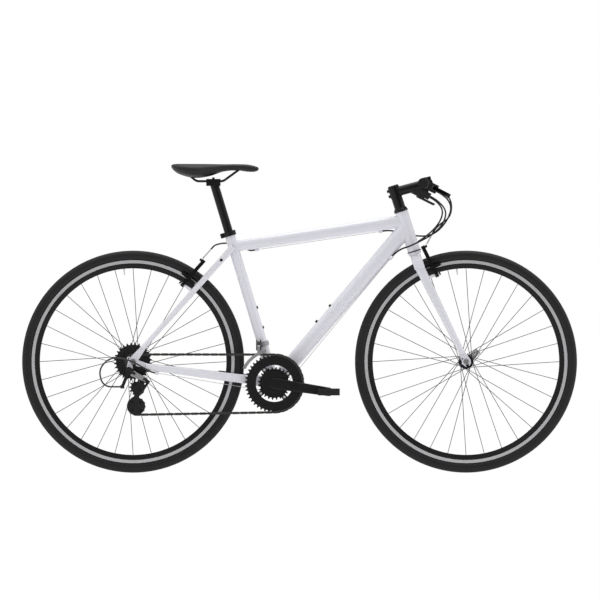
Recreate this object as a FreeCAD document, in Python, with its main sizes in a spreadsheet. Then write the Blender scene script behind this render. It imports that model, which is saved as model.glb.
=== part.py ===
"""Hybrid bicycle with a rigid fork, three chainrings, eight sprockets and rim brakes.

Frame of the model: +X forward, +Y to the rider's left, +Z up, millimetres.
The origin lies on the ground under the middle of the wheelbase, so the drive side faces -Y.
"""
import FreeCAD, Part
import math
import os
import re
import Sketcher
from FreeCAD import Placement, Rotation, Vector

# Driving dimensions, in millimetres and degrees
DIMENSIONS = {
    # Layout of the frame
    "wheel_spacing": 342,
    "bead_seat_diameter": 622,
    "tyre_height": 32,
    "chainstay_clearance": 98.4,
    "bb_drop": 67,
    "seat_angle": 73.2,
    "head_angle": 72,
    "fork_rake": 47,
    "crown_clearance": 20,
    "bridge_clearance": 19,
    "fit_gap": 0.05,
    "part_gap": 0.3,
    # Frame tubes
    "tube_wall": 2,
    "seat_tube_length": 488,
    "seat_tube_od": 32,
    "seat_cluster_drop": 47.4,
    "seatpost_diameter": 27.2,
    "head_tube_length": 127,
    "head_tube_od": 40,
    "head_tube_bore": 34,
    "lower_stack": 12,
    "top_tube_drop": 29.5,
    "top_tube_height_rear": 33,
    "top_tube_height_front": 38,
    "top_tube_width": 31,
    "down_tube_drop": 53,
    "down_tube_height": 50,
    "down_tube_width": 39,
    "down_tube_foot_height": 43,
    "bb_shell_width": 68,
    "bb_shell_od": 42,
    "bb_shell_bore": 35,
    "chainstay_height": 30,
    "chainstay_end_height": 20,
    "chainstay_width": 15,
    "chainstay_rise": -9.7,
    "chainstay_fall_angle": 7.3,
    "chainstay_start": 39.5,
    "chainstay_root_offset": 24,
    "seatstay_width": 15,
    "seatstay_height": 20,
    "seatstay_end_height": 14,
    "seatstay_rise": 8,
    "seatstay_top_offset": 17,
    "bridge_diameter": 14,
    # Rear dropouts
    "rear_hub_width": 135,
    "dropout_thickness": 6,
    "rear_axle_diameter": 10,
    "dropout_arm": 58,
    "dropout_arm_width": 14,
    "slot_tilt": 20,
    "slot_depth": 16,
    "hanger_back": 12,
    "hanger_drop": 27,
    "hanger_radius": 9,
    "hanger_bore": 10,
    "eyelet_thread": 5,
    "eyelet_radius": 5.5,
    # Wheels
    "rim_width": 24,
    "rim_inner_width": 14,
    "rim_height": 29,
    "rim_wall": 2,
    "rim_lip": 6,
    "brake_track": 16,
    "valve_diameter": 6,
    "valve_length": 42,
    "tyre_width": 32,
    "tyre_wall": 3,
    "bead_width": 3,
    "spoke_count": 32,
    "spoke_crosses": 3,
    "spoke_diameter": 2,
    "spoke_circle": 38,
    "spoke_lean": 0.95,
    "flange_diameter": 45,
    "flange_thickness": 3,
    "hub_barrel": 24,
    "hub_end": 30,
    "hub_overhang": 9,
    "front_flange": 33,
    "rear_left_flange": 35,
    "rear_right_flange": 19,
    "cone_diameter": 16,
    "locknut_diameter": 17,
    "front_hub_width": 100,
    "front_axle_diameter": 9,
    "skewer_diameter": 5,
    "skewer_nut_diameter": 18,
    "skewer_nut_length": 13,
    # Drivetrain
    "chain_pitch": 12.7,
    "chain_line": 58,
    "chain_inner_width": 2.4,
    "chain_plate": 0.9,
    "chain_plate_height": 8.2,
    "chain_plate_waist": 5.6,
    "roller_diameter": 7.1,
    "tooth_thickness": 1.8,
    "sprocket_pitch": 4.8,
    "freehub_diameter": 33,
    "chainring_spacing": 8,
    "large_ring_bolts": 104,
    "small_ring_bolts": 64,
    "ring_bolt_diameter": 8,
    "spider_hub": 78,
    "crank_length": 170,
    "crank_angle": -8.7,
    "crank_root_width": 34,
    "crank_eye_width": 27,
    "crank_thickness": 13,
    "crank_offset": 66,
    "crank_edge": 4,
    "spindle_diameter": 17,
    "cup_lip": 2.5,
    "cup_depth": 13,
    "pedal_axle_diameter": 9,
    "pedal_length": 67,
    "pedal_width": 92,
    "pedal_thickness": 21,
    "pedal_gap": 5,
    "pedal_rail": 7,
    "pedal_barrel": 18,
    "guide_ahead": 12,
    "guide_drop": 80,
    "cage_reach": 57,
    "cage_angle": 264,
    # Steering
    "steerer_diameter": 28.6,
    "steerer_wall": 2.5,
    "headset_lip": 3,
    "headset_depth": 8,
    "headset_diameter": 44,
    "headset_cap_height": 9,
    "crown_width": 104,
    "crown_depth": 46,
    "crown_length": 32,
    "crown_arch": 54,
    "leg_width": 19,
    "leg_length": 30,
    "leg_end_length": 18,
    "fork_end_arm": 44,
    "fork_end_width": 16,
    "spacer_stack": 34,
    "spacer_count": 3,
    "stem_clamp_height": 34,
    "stem_clamp_diameter": 36,
    "stem_length": 100,
    "stem_rise": 15,
    "stem_neck_diameter": 30,
    "bar_clamp_diameter": 25.4,
    "bar_clamp_width": 46,
    "bar_clamp_wall": 8,
    "bar_diameter": 22.2,
    "bar_wall": 2,
    "bar_width": 600,
    "bar_straight": 120,
    "bar_bulge": 100,
    "bar_sweep": 12.5,
    "grip_diameter": 31,
    "grip_length": 125,
    "cap_screw_diameter": 9,
    "cap_screw_height": 5,
    # Brake levers and shifters
    "lever_droop": 26,
    "control_gap": 16,
    "control_ring": 14,
    "control_ring_wall": 4.5,
    "bracket_height": 24,
    "lever_thickness": 11,
    "lever_pivot_ahead": 34,
    "lever_pivot_inward": 14,
    "lever_pin": 5,
    "pod_length": 50,
    "pod_width": 38,
    "pod_height": 18,
    "pod_drop": 29,
    "shift_pin": 6,
    "shift_lever_thickness": 4,
    # Rim brakes
    "boss_spacing": 80,
    "boss_inset": 29,
    "boss_diameter": 8,
    "boss_length": 47,
    "brake_arm_reach": 98,
    "brake_arm_thickness": 11,
    "brake_arm_start": 33,
    "brake_arm_hub": 18,
    "brake_arm_tip": 12,
    "brake_arm_lean": 6,
    "pad_rise": 24,
    "pad_gap": 2.2,
    "pad_thickness": 9,
    "pad_height": 9,
    "pad_length": 52,
    "noodle_diameter": 5,
    "noodle_reach": 26,
    "noodle_rise": 46,
    "front_noodle_lean": 55,
    "rear_noodle_lean": 0,
    "cable_bolt_diameter": 8,
    "cable_bolt_height": 7,
    # Rear derailleur
    "link_slope": 35,
    "link_slant": 25,
    "link_length": 42,
    "link_start": -15,
    "link_spacing": 14,
    "link_thickness": 5,
    "link_height": 16,
    "link_eye": 11,
    "tongue_height": 8,
    "pivot_pin": 4,
    "knuckle_diameter": 22,
    "knuckle_offset": 88,
    "cage_plate": 1.6,
    "cage_width": 12,
    "cage_guide_radius": 11,
    "cage_tension_radius": 27,
    "pulley_hub": 16,
    "pulley_width": 8,
    "pulley_bolt": 5,
    "cage_spindle": 8,
    # Front derailleur
    "front_band_height": 126,
    "front_band_wall": 4,
    "front_band_length": 14,
    "front_link_length": 28,
    "front_link_start": 51,
    "front_cage_inner": 99,
    "front_cage_depth": 10,
    "front_cage_gap": 10,
    # Quick release levers
    "quick_lever_length": 52,
    "quick_lever_width": 20,
    "quick_lever_thickness": 4,
    # Seat
    "seatpost_wall": 2.5,
    "seatpost_insertion": 110,
    "seatpost_rise": 164,
    "rail_diameter": 7,
    "rail_spacing": 44,
    "cradle_length": 44,
    "cradle_width": 58,
    "cradle_depth": 14,
    "seat_clamp_height": 15,
    "seat_clamp_wall": 5,
    "saddle_length": 270,
    "saddle_width": 152,
    # Cables and small fasteners
    "housing_diameter": 5,
    "wire_diameter": 1.6,
    "stop_diameter": 11,
    "stop_length": 12,
    "stop_height": 5,
    "guide_thickness": 3,
    "chainstay_stop_reach": 74,
    "chainstay_stop_offset": 65.5,
    "chainstay_stop_drop": 5.5,
    "boss_bolt_diameter": 9,
    "boss_bolt_height": 3.5,
    "bottle_spacing": 64,
    "seat_tube_bottle": 176,
    "down_tube_bottle": 230,
    "rack_bolt_drop": 55,
}

# Teeth of the rings and sprockets, largest ring and smallest sprocket first
CHAINRING_TEETH = (44, 34, 24)
SPROCKET_TEETH = (11, 13, 15, 17, 19, 21, 24, 28)
GUIDE_TEETH = 11
TENSION_TEETH = 13

doc = FreeCAD.newDocument("hybrid_bike")
sheet = doc.addObject("Spreadsheet::Sheet", "Sizes")
for row, (alias, number) in enumerate(DIMENSIONS.items(), start=1):
    sheet.set(f"A{row}", alias)
    sheet.set(f"B{row}", str(number))
    sheet.setAlias(f"B{row}", alias)
doc.recompute()

NODES = []
# Share of the shorter run at a corner that an arc may take up
BEND_SHARE = 0.45
# Radius of a blade's edges as a share of its width
ROUNDING = 0.45
SIDEWAYS = Vector(0, 1, 0)
FORWARD = Vector(1, 0, 0)
UP = Vector(0, 0, 1)


def linked(expression):
    """Expression text with each size's name pointed at its cell."""
    return re.sub(r"[a-z_]{3,}", lambda word: "Sizes." + word.group() if word.group() in DIMENSIONS
                  else word.group(), str(expression))


def size(expression):
    """Number that an expression of sizes has now."""
    number = sheet.evalExpression(linked(expression))
    return float(getattr(number, "Value", number))


def bind(thing, field, expression):
    """Tie a property or constraint of an object to the sheet."""
    thing.setExpression(field, linked(expression))


def polar(angle, length=1.0):
    """Vector in the bike's side plane, at an angle in degrees above forward."""
    return Vector(math.cos(math.radians(angle)), 0, math.sin(math.radians(angle))) * length


def placed(origin, z_axis=UP, x_axis=FORWARD):
    """Placement with its Z along z_axis and its X as near to x_axis as it can be."""
    return Placement(origin, Rotation(Vector(x_axis), Vector(), Vector(z_axis), "ZXY"))


def node(label, *pieces):
    """Make the pieces one named sub-part: alone, or as a group of separate solids."""
    whole = pieces[0]
    if len(pieces) > 1:
        whole = doc.addObject("Part::Compound", label + "_group")
        whole.Links = list(pieces)
    whole.Label = label
    NODES.append(whole)
    return whole


def feature(name, shape, placement=None):
    """Free shape as an object of the document."""
    thing = doc.addObject("Part::Feature", name)
    thing.Shape = shape
    if placement:
        thing.Placement = placement
    return thing


def cylinder(name, radius, length, origin, axis=SIDEWAYS, centred=False):
    """Round bar that starts at origin, or is centred there, along axis."""
    thing = doc.addObject("Part::Cylinder", name)
    bind(thing, "Radius", radius)
    bind(thing, "Height", length)
    direction = Vector(axis).normalize()
    start = origin - direction * size(length) / 2 if centred else origin
    x_axis = FORWARD if abs(direction.x) < 0.9 else UP
    thing.Placement = placed(start, direction, x_axis)
    return thing


def block(name, lengths, placement, centred=(True, True, True)):
    """Box with its sizes in the placement's own axes, centred along those that say so."""
    thing = doc.addObject("Part::Box", name)
    shift = []
    for field, length, middle in zip(("Length", "Width", "Height"), lengths, centred):
        bind(thing, field, length)
        shift.append(-size(length) / 2 if middle else 0)
    thing.Placement = placement * Placement(Vector(*shift), Rotation())
    return thing


def cut(name, base, *tools):
    """Base with the tools taken away."""
    thing = doc.addObject("Part::Cut", name)
    thing.Base = base
    thing.Tool = tools[0] if len(tools) == 1 else fuse(name + "_tools", *tools)
    return thing


def fuse(name, *shapes):
    """Shapes joined to one."""
    thing = doc.addObject("Part::MultiFuse", name)
    thing.Shapes = list(shapes)
    thing.Refine = True
    return thing


def mirrored(name, source):
    """The same piece on the other side of the bike."""
    thing = doc.addObject("Part::Mirroring", name)
    thing.Source = source
    thing.Normal = SIDEWAYS
    return thing


def sketch(body, points, plane="XY_Plane"):
    """Closed outline on one of the body's planes.

    A point is (x, y), or (x, y, r) where an arc of radius r runs on to the next point,
    turning left for a positive r and right for a negative one.
    """
    drawing = body.newObject("Sketcher::SketchObject", body.Name + "_sketch")
    face = next(item for item in body.Origin.OriginFeatures if item.Role == plane)
    drawing.AttachmentSupport = [(face, "")]
    drawing.MapMode = "FlatFace"
    corners = [Vector(size(point[0]), size(point[1]), 0) for point in points]
    ends = []
    for number, point in enumerate(points):
        start, stop = corners[number], corners[(number + 1) % len(points)]
        if len(point) == 2:
            drawing.addGeometry(Part.LineSegment(start, stop), False)
            ends.append((1, 2))
            continue
        radius = abs(size(point[2]))
        left = size(point[2]) > 0
        chord = stop - start
        rise = math.sqrt(max(radius ** 2 - (chord.Length / 2) ** 2, 0))
        normal = Vector(-chord.y, chord.x, 0).normalize()
        centre = (start + stop) / 2 + normal * (rise if left else -rise)
        angles = [math.atan2(end.y - centre.y, end.x - centre.x) for end in (start, stop)]
        if not left:
            angles.reverse()
        drawing.addGeometry(Part.ArcOfCircle(Part.Circle(centre, UP, radius), *angles), False)
        ends.append((1, 2) if left else (2, 1))
    for number, point in enumerate(points):
        after = (number + 1) % len(points)
        drawing.addConstraint(Sketcher.Constraint("Coincident", number, ends[number][1], after,
                                                  ends[after][0]))
        for kind, length in zip(("DistanceX", "DistanceY"), point):
            place = drawing.addConstraint(Sketcher.Constraint(kind, number, ends[number][0], size(length)))
            bind(drawing, f"Constraints[{place}]", length)
        if len(point) == 3:
            place = drawing.addConstraint(Sketcher.Constraint("Radius", number, abs(size(point[2]))))
            bind(drawing, f"Constraints[{place}]", f"abs({point[2]})")
    return drawing


def turned(name, points, placement):
    """Solid of revolution about the placement's Z, from points of (radius, height)."""
    body = doc.addObject("PartDesign::Body", name)
    drawing = sketch(body, points, "XZ_Plane")
    spin = body.newObject("PartDesign::Revolution", name + "_spin")
    spin.Profile = drawing
    spin.ReferenceAxis = (drawing, ["V_Axis"])
    spin.Angle = 360
    body.Placement = placement
    return body


def plate(name, points, thickness, placement):
    """Flat piece: an outline in the placement's XY plane, as thick as said along its Z."""
    body = doc.addObject("PartDesign::Body", name)
    drawing = sketch(body, points)
    pad = body.newObject("PartDesign::Pad", name + "_pad")
    pad.Profile = drawing
    bind(pad, "Length", thickness)
    body.Placement = placement
    return body


def blade(name, start, stop, tall_start, tall_stop, wide):
    """Straight bar with rounded edges: its height may change from start to stop, its width is even."""
    along = stop - start
    across = (SIDEWAYS - along * (along.y / along.Length ** 2)).normalize()
    place = placed(start - across * size(wide) / 2, across, along)
    body = plate(name, [(0, f"-({tall_start}) / 2"), (along.Length, f"-({tall_stop}) / 2"),
                        (along.Length, f"({tall_stop}) / 2"), (0, f"({tall_start}) / 2")], wide, place)
    doc.recompute()
    pad = body.Tip
    edges = [f"Edge{number}" for number, edge in enumerate(pad.Shape.Edges, start=1)
             if abs(edge.tangentAt(0).x) > 0.5]
    rounding = body.newObject("PartDesign::Fillet", f"{name}_rounding")
    rounding.Base = (pad, edges)
    bind(rounding, "Radius", f"{ROUNDING} * ({wide})")
    return body


def skin_depth(half_tall, half_wide, step):
    """Distance from a blade's middle plane down to its skin, at a step sideways from its axis."""
    radius = 2 * ROUNDING * half_wide
    past_flat = max(abs(step) - half_wide + radius, 0)
    return half_tall - radius + math.sqrt(radius ** 2 - past_flat ** 2)


def pipe(name, points, radius, bend=None):
    """Round bar along points: straight runs and arcs, as large as the runs allow where no bend is given."""
    radius = size(radius)
    runs = []
    start = points[0]
    for before, corner, after in zip(points, points[1:], points[2:]):
        incoming, outgoing = corner - before, after - corner
        turn = incoming.getAngle(outgoing)
        shorter = min(incoming.Length, outgoing.Length)
        curve = bend or BEND_SHARE * shorter / math.tan(turn / 2)
        reach = curve * math.tan(turn / 2)
        incoming.normalize()
        outgoing.normalize()
        first = corner - incoming * reach
        runs.append(Part.makeCylinder(radius, (first - start).Length, start, incoming))
        bulge = (outgoing - incoming).normalize()
        ring = Part.Face(Part.Wire(Part.makeCircle(radius, first, incoming)))
        centre = corner + bulge * (curve / math.cos(turn / 2))
        runs.append(ring.revolve(centre, incoming.cross(outgoing), math.degrees(turn)))
        start = corner + outgoing * reach
    runs.append(Part.makeCylinder(radius, (points[-1] - start).Length, start, points[-1] - start))
    return feature(name, runs[0].multiFuse(runs[1:]).removeSplitter())
# Main points of the layout
WHEEL_RADIUS = size("bead_seat_diameter / 2 + tyre_height")
HALF_BASE = WHEEL_RADIUS + size("wheel_spacing / 2")
REAR_AXLE = Vector(-HALF_BASE, 0, WHEEL_RADIUS)
FRONT_AXLE = Vector(HALF_BASE, 0, WHEEL_RADIUS)
CHAINSTAY_LENGTH = WHEEL_RADIUS + size("chainstay_clearance")
BB = REAR_AXLE + Vector(math.sqrt(CHAINSTAY_LENGTH ** 2 - size("bb_drop") ** 2), 0, -size("bb_drop"))
SEAT_UP = polar(180 - size("seat_angle"))
SEAT_AHEAD = polar(90 - size("seat_angle"))
STEER_UP = polar(180 - size("head_angle"))
STEER_AHEAD = polar(90 - size("head_angle"))
CROWN = FRONT_AXLE - STEER_AHEAD * size("fork_rake") + STEER_UP * (WHEEL_RADIUS + size("crown_clearance"))
HEAD_BOTTOM = CROWN + STEER_UP * size("lower_stack")
HEAD_TOP = HEAD_BOTTOM + STEER_UP * size("head_tube_length")
TOP_END = HEAD_TOP - STEER_UP * size("top_tube_drop")
DOWN_END = HEAD_TOP - STEER_UP * size("down_tube_drop")
SEAT_CLUSTER = BB + SEAT_UP * size("seat_tube_length - seat_cluster_drop")
SEAT_TOP = BB + SEAT_UP * size("seat_tube_length")
BRIDGE_REACH = WHEEL_RADIUS + size("bridge_clearance")
DROPOUT_MIDDLE = size("rear_hub_width / 2 + dropout_thickness / 2")
CHAINSTAY_AHEAD = polar(-size("chainstay_fall_angle"))
CHAINSTAY_FOOT = REAR_AXLE + UP * size("chainstay_rise")
SEATSTAY_FOOT = REAR_AXLE + UP * size("seatstay_rise")
SEATSTAY_UP = (SEAT_CLUSTER - SEATSTAY_FOOT).normalize()


def frame_tubes():
    """Head, seat, top and down tubes and the bottom bracket shell, each cut to fit its neighbours."""
    head_skin = cylinder("head_tube_skin", "head_tube_od / 2", "head_tube_length", HEAD_BOTTOM, STEER_UP)
    head_bore = cylinder("head_tube_bore_tool", "head_tube_bore / 2", "head_tube_length", HEAD_BOTTOM,
                         STEER_UP)
    node("head_tube", cut("head_tube_cut", head_skin, head_bore))
    shell_skin = cylinder("shell_skin", "bb_shell_od / 2", "bb_shell_width", BB, centred=True)
    shell_bore = cylinder("shell_bore_tool", "bb_shell_bore / 2", "bb_shell_width", BB, centred=True)
    seat_skin = cylinder("seat_tube_skin", "seat_tube_od / 2", "seat_tube_length", BB, SEAT_UP)
    seat_bore = cylinder("seat_tube_bore", "seatpost_diameter / 2 + fit_gap", "seat_tube_length", BB, SEAT_UP)
    floor = block("cable_guide_blank", (8, 36, "bb_shell_od / 2 + guide_thickness"),
                  placed(BB - UP * size("bb_shell_od / 2 + guide_thickness")), (True, True, False))
    node("bottom_bracket_shell", cut("shell_cut", shell_skin, shell_bore),
         cut("cable_guide", floor, shell_skin))
    node("seat_tube", cut("seat_tube_cut", seat_skin, seat_bore, shell_skin))
    down_skin = blade("down_tube_skin", BB, DOWN_END, "down_tube_foot_height", "down_tube_height",
                      "down_tube_width")
    down_bore = cylinder("down_tube_bore", "down_tube_width / 2 - tube_wall", (DOWN_END - BB).Length, BB,
                         DOWN_END - BB)
    down_tube = cut("down_tube_cut", down_skin, down_bore, head_skin, seat_skin, shell_skin)
    top_skin = blade("top_tube_skin", SEAT_CLUSTER, TOP_END, "top_tube_height_rear", "top_tube_height_front",
                     "top_tube_width")
    top_bore = cylinder("top_tube_bore", "top_tube_width / 2 - tube_wall", (TOP_END - SEAT_CLUSTER).Length,
                        SEAT_CLUSTER, TOP_END - SEAT_CLUSTER)
    top_tube = cut("top_tube_cut", top_skin, top_bore, head_skin, seat_skin, down_skin)
    return down_tube, top_tube, seat_skin, shell_skin


def dropout_outline(side_has_hanger):
    """Outline of a rear dropout about the axle: x forward, y up."""
    def flat(vector):
        return vector.x, vector.z
    half = size("dropout_arm_width / 2")
    slot = size("rear_axle_diameter / 2 + part_gap")
    mouth = polar(size("slot_tilt") - 90)
    mouth_end = mouth * size("slot_depth")
    across = polar(size("slot_tilt"), slot)
    arms = []
    for foot, along in ((SEATSTAY_FOOT, SEATSTAY_UP), (CHAINSTAY_FOOT, CHAINSTAY_AHEAD)):
        end = foot - REAR_AXLE + along * size("dropout_arm")
        sidestep = Vector(-along.z, 0, along.x) * half
        arms += [end + sidestep, end - sidestep]
    stay_rear, stay_front, chain_top, chain_low = arms
    hanger = Vector(-size("hanger_back"), 0, -size("hanger_drop"))
    reach = size("hanger_radius")
    behind = size("rear_axle_diameter / 2") + 9
    tail = [(-behind, -behind / 2)]
    if side_has_hanger:
        tail = [(hanger.x - reach, hanger.z, reach), (hanger.x, hanger.z - reach, reach),
                (hanger.x + reach, hanger.z)]
    return [flat(stay_rear), (-behind, behind / 2), *tail, flat(mouth_end - across),
            (*flat(across * -1), -slot), (*flat(mouth * -slot), -slot), flat(across),
            flat(mouth_end + across),
            flat(chain_low), flat(chain_top), (behind * 1.2, behind / 3), flat(stay_front)]


def dropouts():
    """Both rear dropouts: the right one has the derailleur hanger."""
    made = []
    for side, label in ((-1, "right"), (1, "left")):
        middle = side * DROPOUT_MIDDLE + size("dropout_thickness / 2")
        place = placed(REAR_AXLE + SIDEWAYS * middle, -SIDEWAYS, FORWARD)
        body = plate(f"{label}_dropout_plate", dropout_outline(side < 0), "dropout_thickness", place)
        eyelet = REAR_AXLE + eyelet_offset() + SIDEWAYS * side * DROPOUT_MIDDLE
        boss = cylinder(f"{label}_eyelet_boss", "eyelet_radius", "dropout_thickness", eyelet, centred=True)
        holes = [cylinder(f"{label}_eyelet_hole", "eyelet_thread / 2", "2 * dropout_thickness", eyelet,
                          centred=True)]
        if side < 0:
            holes.append(cylinder("hanger_hole", "hanger_bore / 2", "2 * dropout_thickness",
                                  hanger_point(), centred=True))
        made.append(cut(f"{label}_dropout", fuse(f"{label}_dropout_blank", body, boss), *holes))
    return made


def eyelet_offset():
    """Rack eyelet: above and behind the axle, where a rack's leg is bolted."""
    return Vector(-size("rear_axle_diameter / 2 + eyelet_radius + 2"), 0, size("rear_axle_diameter"))


def hanger_point():
    """Middle of the derailleur hanger's threaded hole."""
    return REAR_AXLE + Vector(-size("hanger_back"), -DROPOUT_MIDDLE, -size("hanger_drop"))


def rear_triangle(seat_skin, shell_skin):
    """Chainstays, seatstays and their bridges, slotted over the dropouts."""
    ends = dropouts()
    length = (BB - CHAINSTAY_FOOT).dot(CHAINSTAY_AHEAD)
    chainstays, seatstays = [], []
    for side, label, end in ((-1, "right", ends[0]), (1, "left", ends[1])):
        low = CHAINSTAY_FOOT + CHAINSTAY_AHEAD * size("chainstay_start") + SIDEWAYS * side * DROPOUT_MIDDLE
        high = CHAINSTAY_FOOT + CHAINSTAY_AHEAD * length + SIDEWAYS * side * size("chainstay_root_offset")
        skin = blade(f"{label}_chainstay_skin", low, high, "chainstay_end_height", "chainstay_height",
                     "chainstay_width")
        bore = cylinder(f"{label}_chainstay_bore", "chainstay_width / 2 - tube_wall", (high - low).Length,
                        low,
                        high - low)
        chainstays.append(cut(f"{label}_chainstay", skin, bore, shell_skin, end))
        low = SEATSTAY_FOOT + SEATSTAY_UP * size("dropout_arm - 14") + SIDEWAYS * side * DROPOUT_MIDDLE
        high = SEAT_CLUSTER + SIDEWAYS * side * size("seatstay_top_offset")
        skin = blade(f"{label}_seatstay_skin", low, high, "seatstay_end_height", "seatstay_height",
                     "seatstay_width")
        bore = cylinder(f"{label}_seatstay_bore", "seatstay_width / 2 - tube_wall", (high - low).Length,
                        low, high - low)
        seatstays.append(cut(f"{label}_seatstay", skin, bore, seat_skin, end))
    return ends, chainstays, seatstays


def brake_frame(axle_point, line_start, way, outward):
    """Placement of a rim brake on a leg or stay: Z away from the axle, Y out along the bosses, X sideways."""
    across = outward.cross(way)
    reach = size("bead_seat_diameter / 2 - boss_inset") - (line_start - axle_point).dot(way)
    return placed(line_start + way * reach, way, across)


REAR_BRAKE = brake_frame(REAR_AXLE, SEATSTAY_FOOT, SEATSTAY_UP, Vector(-SEATSTAY_UP.z, 0, SEATSTAY_UP.x))


def brake_boss(label, place, side, stay_skin):
    """Round boss for a brake arm, cut to sit on the stay or leg."""
    origin = place.multVec(Vector(side * size("boss_spacing / 2"), 0, 0))
    way = place.Rotation.multVec(Vector(0, 1, 0))
    bar = cylinder(f"{label}_boss_bar", "boss_diameter / 2", "boss_length", origin, way)
    return cut(f"{label}_boss", bar, stay_skin)


def stay_bridge(name, middle, skins):
    """Short round tube between two stays, cut to fit them."""
    bar = cylinder(f"{name}_bar", "bridge_diameter / 2", "rear_hub_width", middle, centred=True)
    for number, skin in enumerate(skins):
        bar = cut(f"{name}_fit_{number}", bar, skin)
    ends = block(f"{name}_between",
                 ("bridge_diameter", "2 * seatstay_top_offset + seatstay_width", "bridge_diameter"),
                 placed(middle))
    kept = doc.addObject("Part::Common", name)
    kept.Base = bar
    kept.Tool = ends
    return kept


def under_tube(start, stop, share, side_step, half_height, half_width):
    """Point below a tube, where a cable stop's bore lies."""
    along = (stop - start).normalize()
    below = Vector(along.z, 0, -along.x)
    depth = skin_depth(half_height, half_width, side_step) + size("stop_height")
    return start + (stop - start) * share + below * depth + SIDEWAYS * side_step


TOP_STOPS = [under_tube(SEAT_CLUSTER, TOP_END, share, step, size(half), size("top_tube_width / 2"))
             for share, step,
             half in ((0.855, 10, "top_tube_height_front / 2"), (0.134, 8, "top_tube_height_rear / 2"))]
DOWN_STOPS = [under_tube(BB, DOWN_END, 0.84, step, size("down_tube_height / 2"), size("down_tube_width / 2"))
              for step in (-16, 16)]
CHAINSTAY_STOP = (CHAINSTAY_FOOT + CHAINSTAY_AHEAD * size("chainstay_stop_reach")
                  - SIDEWAYS * size("chainstay_stop_offset")
                  - UP * size("chainstay_end_height / 2 + chainstay_stop_drop"))
CABLE_FLOOR = BB - UP * size("bb_shell_od / 2 + guide_thickness + wire_diameter / 2 + part_gap + fit_gap")

SHIFT_TURN = CABLE_FLOOR + Vector(-16, -9, 0)
SHIFT_WAY = (SHIFT_TURN - CHAINSTAY_STOP).normalize()


def cable_stop(name, point, along, skin):
    """Short sleeve on a tube where a housing ends, bored for the wire."""
    sleeve = cylinder(f"{name}_sleeve", "stop_diameter / 2", "stop_length", point, along, True)
    hole = cylinder(f"{name}_hole", "wire_diameter / 2 + fit_gap", "2 * stop_length", point, along, True)
    return cut(name, sleeve, hole, skin)


def frame():
    """All tubes and stays, with the bosses, bridges and cable stops on them."""
    down_tube, top_tube, seat_skin, shell_skin = frame_tubes()
    down_way = (DOWN_END - BB).normalize()
    down_skin, top_skin = doc.getObject("down_tube_skin"), doc.getObject("top_tube_skin")
    node("down_tube", down_tube, *[cable_stop(f"down_stop_{number}", point, down_way, down_skin)
                                   for number, point in enumerate(DOWN_STOPS)])
    top_way = TOP_STOPS[0] - TOP_STOPS[1]
    node("top_tube", top_tube, *[cable_stop(f"top_stop_{number}", point, top_way, top_skin)
                                 for number, point in enumerate(TOP_STOPS)])
    ends, chainstays, seatstays = rear_triangle(seat_skin, shell_skin)
    node("dropouts", *ends)
    skins = [doc.getObject(f"{label}_chainstay_skin") for label in ("right", "left")]
    bridge = stay_bridge("chainstay_bridge", CHAINSTAY_FOOT + CHAINSTAY_AHEAD * BRIDGE_REACH, skins)
    node("chainstays", *chainstays, bridge, cable_stop("chainstay_stop", CHAINSTAY_STOP, SHIFT_WAY, skins[0]))
    skins = [doc.getObject(f"{label}_seatstay_skin") for label in ("right", "left")]
    bridge = stay_bridge("seatstay_bridge", SEATSTAY_FOOT + SEATSTAY_UP * BRIDGE_REACH, skins)
    bosses = [brake_boss("rear_right", REAR_BRAKE, -1, skins[0]),
              brake_boss("rear_left", REAR_BRAKE, 1, skins[1])]
    node("seatstays", *seatstays, bridge, *bosses)


frame()


RIM_EDGE = "bead_seat_diameter / 2 + rim_lip"
RIM_INNER = f"{RIM_EDGE} - rim_height"


def both_sides(half):
    """Points of (radius, height) closed by their mirror image below."""
    return half + [(point[0], f"-({point[1]})") for point in reversed(half)]


def rim(label, place):
    """Hollow double-walled rim with straight brake tracks and a valve hole."""
    skin = turned(f"{label}_rim_skin", both_sides([
        ("bead_seat_diameter / 2", "rim_width / 2 - rim_wall"), (RIM_EDGE, "rim_width / 2 - rim_wall"),
        (RIM_EDGE, "rim_width / 2"), (f"{RIM_EDGE} - brake_track", "rim_width / 2"),
        (RIM_INNER, "rim_inner_width / 2")]), place)
    hollow = turned(f"{label}_rim_hollow", both_sides([
        ("bead_seat_diameter / 2 - rim_wall", "rim_width / 2 - rim_wall"),
        (f"{RIM_EDGE} - brake_track", "rim_width / 2 - rim_wall"),
        (f"{RIM_INNER} + rim_wall", "rim_inner_width / 2 - rim_wall / 2")]), place)
    hole = cylinder(f"{label}_valve_hole", "valve_diameter / 2 + fit_gap", RIM_EDGE, place.Base, valve_way())
    node(f"{label}_rim", cut(f"{label}_rim_cut", skin, hollow, hole))


def valve_way():
    """Direction from the axle to the valve, midway between two spokes."""
    return polar(90 + 180 / size("spoke_count"))


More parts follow.
